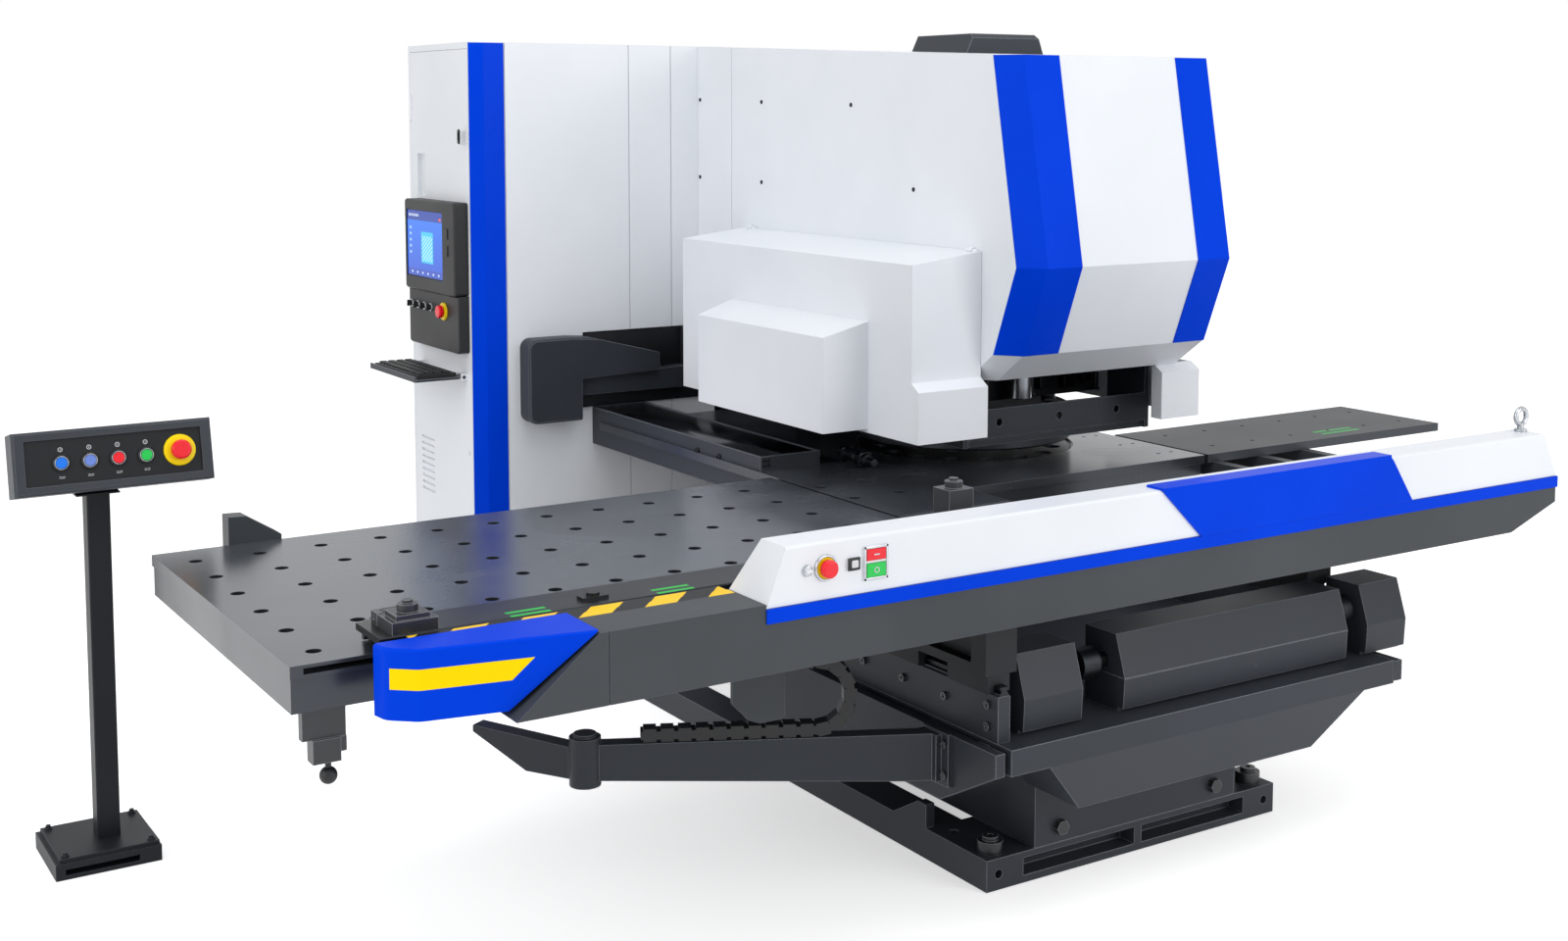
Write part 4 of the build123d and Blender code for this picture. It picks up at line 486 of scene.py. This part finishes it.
# %% Switch rims, levers, locks and the disc
wall = (-1.0, 0.0, 0.0)
spots = (1.462, 1.396, 1.330, 1.264)
rim = [(0.0112, 0.0060), (0.0118, 0.0078), (0.0150, 0.0070), (0.0156, 0.0050), (0.0156, 0.0)]
gather("switch_rims", [(turned(rim), stand((-1.013, spot, 1.392), wall)) for spot in spots],
       bright_steel, "door")
levers = [(cut(box_outline(0.0075, 0.0250, 0.003), 0.009, 0.0008),
           stand((-1.0281, spot, 1.392), wall)) for spot in spots]
gather("switch_levers", levers, black_plastic, "door")
pointers = [(cut(box_outline(0.0028, 0.0100, 0.001), 0.0006),
             stand((-1.0372, spot, 1.399), wall)) for spot in spots]
gather("switch_pointers", pointers, label_white, "door")
cabinet_disc = [(0.0108, 0.0063), (0.0300, 0.0064), (0.0338, 0.0058), (0.0352, 0.0035),
                (0.0353, 0.0)]
gather("cabinet_stop_disc", [(turned(cabinet_disc, 48), stand((-1.013, 1.142, 1.386), wall))],
       yellow_coat, "door")
lock = [(cut(box_outline(0.022, 0.056, 0.010), 0.004, 0.0008), stand((-0.9962, 1.008, 2.05), wall)),
        (cut(box_outline(0.006, 0.030, 0.002), 0.003), stand((-1.0002, 1.008, 2.05), wall))]
gather("door_lock", lock, dark_steel, "door")
print("switch panel dressed with", len(spots), "switches")

# %% [markdown]
# ## The controls on the beam
# A key switch, an emergency stop, a small indicator and a pair of start and stop keys
# stand on the white cover. The keys carry the standard line and circle.

# %% Rims, frames and marks on the beam
front = (0.0, -1.0, 0.0)
key_place = stand((-1.328, -1.870, 1.066), front)
stop_place = stand((-1.275, -1.870, 1.066), front)
key_rim = [(0.0095, 0.0062), (0.0105, 0.0078), (0.0125, 0.0070), (0.0138, 0.0030), (0.0138, 0.0)]
stop_rim = [(0.0262, 0.0042), (0.0275, 0.0060), (0.0312, 0.0056), (0.0326, 0.0035), (0.0326, 0.0)]
stop_disc = [(0.0108, 0.0041), (0.0108, 0.0044), (0.0258, 0.0044), (0.0261, 0.0041)]
gather("key_switch_rim", [(turned(key_rim), key_place)], bright_steel, "beam")
gather("beam_stop_rim", [(turned(stop_rim, 48), stop_place)], bright_steel, "beam")
gather("beam_stop_disc", [(turned(stop_disc, 48), stop_place)], yellow_coat, "beam")
indicator = stand((-1.197, -1.875, 1.066), front)
gather("indicator_frame", [(cut(box_outline(0.036, 0.032, 0.003), 0.0016, 0.0005), indicator)],
       black_plastic, "beam")
lens = (cut(box_outline(0.019, 0.018, 0.003), 0.0024, 0.0006), at(indicator, 0.002, 0.0, 0.0012))
gather("indicator_lens", [lens], label_white, "beam")
switch = stand((-1.132, -1.875, 1.0615), front)
bars = [(0.0, 0.0385, 0.070, 0.0065), (0.0, -0.0385, 0.070, 0.0065),
        (0.0322, 0.0, 0.0056, 0.0835), (-0.0322, 0.0, 0.0056, 0.0835)]
frame_forms = [(cut(box_outline(width, height, 0.002), 0.0022, 0.0006), at(switch, across, above))
               for across, above, width, height in bars]
gather("switch_frame", frame_forms, bright_steel, "beam")
circle = [(0.0052, 0.0), (0.0052, 0.0004), (0.0076, 0.0004), (0.0076, 0.0)]
start_place = stand((-1.132, -1.8792, 1.044), front)
gather("start_mark", [(turned(circle), start_place)], label_white, "start_key")
stop_line = (cut(box_outline(0.016, 0.0035), 0.0004), stand((-1.132, -1.8792, 1.082), front))
gather("stop_mark", [stop_line], label_white, "stop_key")
print("beam controls dressed")

# %% [markdown]
# ## Screws
# Socket head screws hold the rail box. A real one has a domed rim and a dark
# hexagonal socket, and the head shell has small sunk screws.

# %% Socket screws and sunk screws
def screw_forms(centre, out, radius):
    head = [(radius * 0.52, radius * 0.30), (radius * 0.58, radius * 0.62),
            (radius * 0.85, radius * 0.60), (radius, radius * 0.42), (radius, 0.0)]
    return (turned(head, 24), stand(centre, out))


def socket_forms(centre, out, radius):
    hexagon = [(radius * 0.56 * math.cos(math.radians(60 * k)),
                radius * 0.56 * math.sin(math.radians(60 * k))) for k in range(6)]
    return (cut(hexagon, radius * 0.32), stand(centre, out))


rail_screws = [(-0.4795, 0.136, 0.955), (-0.4795, -0.014, 0.956)]
end_screws = [(-0.465, -0.2855, 0.985), (-0.465, -0.2855, 0.968), (-0.448, -0.2855, 0.985),
              (-0.448, -0.2855, 0.968)]
rail_heads = [screw_forms(p, wall, 0.011) for p in rail_screws]
rail_heads += [screw_forms(p, front, 0.006) for p in end_screws]
gather("rail_box_screws", rail_heads, dark_steel, "machine")
rail_sockets = [socket_forms(p, wall, 0.011) for p in rail_screws]
gather("rail_box_sockets", rail_sockets, matt_black, "machine")
sunk = [(0.944, 2.189), (0.481, 2.179), (-0.113, 2.167), (0.946, 1.884), (0.481, 1.878),
        (-0.483, 1.885)]
cap = [(0.0, 0.0010), (0.0060, 0.0009), (0.0075, 0.0), (0.0075, -0.0018)]
head_forms = [(turned(cap, 20), stand((-0.0022, deep, high), wall)) for deep, high in sunk]
gather("head_screws", head_forms, matt_black, "machine")
print("screws placed", len(rail_screws) + len(end_screws))

# %% [markdown]
# ## The dark places round the throat
# Behind the throat and over the turret the real machine is full of valves and brackets
# that are hardly lit. Matt black panels close these places as painted shade, and in front
# of them stand the valves, posts and the small air cylinder that still catch light.

# %% Painted shade panels, valves and the air cylinder
# Each panel is a matt black sheet set where the throat lies in shade: painted shade.
shade_panels = [
    (cut(box_outline(0.512, 0.156), 0.004, 0.0005), stand((-0.259, 0.972, 1.211), front)),
    (cut(box_outline(0.548, 0.053), 0.012, 0.001), stand((-0.279, 0.9625, 1.0275), front)),
    (cut(box_outline(0.084, 0.232), 0.012, 0.001), stand((-0.0455, 0.9625, 1.172), front)),
    (cut(box_outline(0.770, 0.250), 0.006, 0.001), stand((0.450, -0.440, 1.262), front)),
    (cut(box_outline(0.560, 0.240), 0.004, 0.001), stand((-0.600, -1.020, 0.640), wall)),
    (cut(box_outline(0.700, 0.330), 0.006, 0.001), stand((0.450, 0.236, 1.135), front)),
]
gather("painted_shade_panels", shade_panels, matt_black, "machine")
hinge = [(0.0, 0.050), (0.010, 0.049), (0.012, 0.044), (0.012, 0.004), (0.009, 0.0), (0.0, 0.0)]
valves = ((0.17, 1.20, 0.060, 0.090), (0.26, 1.23, 0.050, 0.120), (0.60, 1.22, 0.070, 0.110),
          (0.70, 1.20, 0.050, 0.080), (0.785, 1.24, 0.045, 0.130))
valve_cap = [(0.0, 0.012), (0.008, 0.011), (0.010, 0.006), (0.010, 0.0)]
post = [(0.0, 0.22), (0.009, 0.219), (0.011, 0.214), (0.011, 0.006), (0.016, 0.005), (0.016, 0.0),
        (0.0, 0.0)]
blocks = []
for across, height, wide, tall in valves:
    blocks.append((cut(box_outline(wide, tall, 0.006), 0.030, 0.003),
                   stand((across, -0.4465, height), front)))
    blocks.append((turned(valve_cap, 20), stand((across, -0.4765, height + tall / 4), front)))
for across in (0.12, 0.33, 0.53, 0.83):
    blocks.append((turned(post, 20), stand((across, -0.468, 1.145), UPWARD, DEEP)))
for across, height in ((-0.060, 1.130), (-0.035, 1.190), (-0.060, 1.245)):
    blocks.append((turned(hinge, 20), stand((across, 0.945, height - 0.025), UPWARD, DEEP)))
gather("valves_and_posts", blocks, dark_steel, "machine")
barrel = [(0.0, 0.0), (0.017, 0.001), (0.019, 0.004), (0.019, 0.020), (0.022, 0.022),
          (0.022, 0.120), (0.020, 0.122), (0.020, 0.150), (0.022, 0.152), (0.022, 0.186),
          (0.013, 0.190), (0.013, 0.230), (0.0, 0.232)]
cylinder = [(turned(barrel, 32), stand((-0.130, -0.245, 0.979), (-0.08, -0.99, -0.02))),
            (cut(box_outline(0.052, 0.050, 0.006), 0.020, 0.002),
             stand((-0.133, -0.275, 0.976), front)),
            (cut(box_outline(0.052, 0.050, 0.006), 0.020, 0.002),
             stand((-0.143, -0.395, 0.976), front))]
gather("air_cylinder", cylinder, dark_steel, "machine")
print("throat dressed with", len(blocks), "small parts")

# %% [markdown]
# ## The rail box
# The long box beside the table has a glossy lid sunk a few millimetres behind its rim,
# so it gets its own shell in place of the plain solid.

# %% A shell with a sunk lid
low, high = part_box("rail_box")
shell = cut(box_outline(high[0] - low[0], high[1] - low[1]), high[2] - low[2] - 0.0005)
shell.faces.ensure_lookup_table()
lid = max(shell.faces, key=lambda face: face.calc_center_median().z)
bmesh.ops.inset_region(shell, faces=[lid], thickness=0.011, depth=0.0)
bmesh.ops.inset_region(shell, faces=[lid], thickness=0.002, depth=-0.004)
middle = ((low[0] + high[0]) / 2, (low[1] + high[1]) / 2, low[2])
shell_form = (shell, Matrix.Translation(middle))
rail_shell = gather("rail_box_shell", [shell_form], frame_coat, "machine")
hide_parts("rail_box")
lid_inset, lid_thickness = 0.028, 0.002
lid_outline = box_outline(high[0] - low[0] - lid_inset, high[1] - low[1] - lid_inset)
lid_place = Matrix.Translation((middle[0], middle[1], high[2] - 0.0044))
lid_form = (cut(lid_outline, lid_thickness, 0.0004), lid_place)
gather("rail_box_lid", [lid_form], lid_steel, "machine")
print("rail box", [round(h - l, 3) for l, h in zip(low, high)])

# %% [markdown]
# ## Camera
# The photograph was taken from head height at the machine's left front corner, with a
# long lens. The lens is shifted down, as a product photographer does to keep the
# uprights parallel.

# %% The camera
camera_data = bpy.data.cameras.new("studio_camera")
camera_data.sensor_width = 36.0
camera_data.lens = 42.525
camera_data.shift_y = -0.12666
camera = bpy.data.objects.new("studio_camera", camera_data)
camera.location = (-3.675, -5.467, 2.15)
camera.rotation_euler = (math.radians(85.0), 0.0, math.radians(-32.4))
bpy.context.scene.collection.objects.link(camera)
bpy.context.scene.camera = camera
print("camera at", tuple(round(c, 3) for c in camera.location))

# %% [markdown]
# ## Floor and light
# The floor is a pale sheet with a low glow that only the camera, mirrors and glass see,
# so it reaches white and still keeps the machine's shadow. Soft light comes from a
# bright surround and three large lamps: one above, one from the left and one from the
# front right. Their level is set so that a colour renders about as it is written.

# %% The floor
def seen_rays(tree):
    ray = add(tree, "ShaderNodeLightPath")
    first = add(tree, "ShaderNodeMath", {"operation": "MAXIMUM"},
                links={0: ray.outputs["Is Camera Ray"], 1: ray.outputs["Is Glossy Ray"]})
    return add(tree, "ShaderNodeMath", {"operation": "MAXIMUM"},
               links={0: first.outputs[0], 1: ray.outputs["Is Transmission Ray"]}).outputs[0]


floor_mesh = bmesh.new()
bmesh.ops.create_grid(floor_mesh, x_segments=2, y_segments=2, size=30.0)
floor_data = bpy.data.meshes.new("studio_floor")
floor_mesh.to_mesh(floor_data)
floor_mesh.free()
floor = bpy.data.objects.new("studio_floor", floor_data)
bpy.context.scene.collection.objects.link(floor)
floor_paper = bpy.data.materials.new("pale_paper")
floor_paper.use_nodes = True
tree = floor_paper.node_tree
tree.nodes["Principled BSDF"].inputs["Roughness"].default_value = 0.9
paper_place = add(tree, "ShaderNodeTexCoord")
paper_grain = add(tree, "ShaderNodeTexNoise", values={"Scale": 3.0},
                  links={"Vector": paper_place.outputs["Object"]})
paper_tone = add(tree, "ShaderNodeMix", {"data_type": "RGBA"},
                 {"A": linear("#F4F4F4"), "B": linear("#FAFAFA")}, {0: paper_grain.outputs["Fac"]})
tree.links.new(paper_tone.outputs["Result"], tree.nodes["Principled BSDF"].inputs["Base Color"])
floor_glow = 0.52
lift = add(tree, "ShaderNodeMath", {"operation": "MULTIPLY"}, {1: floor_glow},
           {0: seen_rays(tree)})
glow = add(tree, "ShaderNodeEmission", links={"Strength": lift.outputs[0]})
lit = add(tree, "ShaderNodeAddShader",
          links={0: tree.nodes["Principled BSDF"].outputs["BSDF"], 1: glow.outputs["Emission"]})
tree.links.new(lit.outputs["Shader"], tree.nodes["Material Output"].inputs["Surface"])
floor_data.materials.append(floor_paper)
floor.location = (0.0, 0.0, -0.001)
print("floor", floor.name)

# %% The surround and the lamps
world = bpy.data.worlds.new("studio")
bpy.context.scene.world = world
world.use_nodes = True
sky = world.node_tree
light_level, white_level = 0.64, 1.0
level = add(sky, "ShaderNodeMapRange", values={"To Min": light_level, "To Max": white_level},
            links={"Value": seen_rays(sky)})
sky.nodes["Background"].inputs["Color"].default_value = (1.0, 1.0, 1.0, 1.0)
sky.links.new(level.outputs["Result"], sky.nodes["Background"].inputs["Strength"])


def lamp(name, place, aim, size, power):
    data = bpy.data.lights.new(name, "AREA")
    data.shape = "SQUARE"
    data.size = size
    data.energy = power
    holder = bpy.data.objects.new(name, data)
    holder.location = place
    holder.rotation_euler = (Vector(aim) - Vector(place)).to_track_quat("-Z", "Y").to_euler()
    bpy.context.scene.collection.objects.link(holder)
    return holder


lamp("top_softbox", (-1.0, -1.5, 6.5), (-0.3, 0.0, 0.8), 5.0, 125)
lamp("left_softbox", (-7.5, -2.0, 3.4), (-0.3, 0.0, 1.0), 4.0, 135)
lamp("front_softbox", (3.0, -8.0, 3.2), (0.0, 0.0, 1.0), 4.0, 190)
bpy.context.scene.view_settings.view_transform = "Standard"
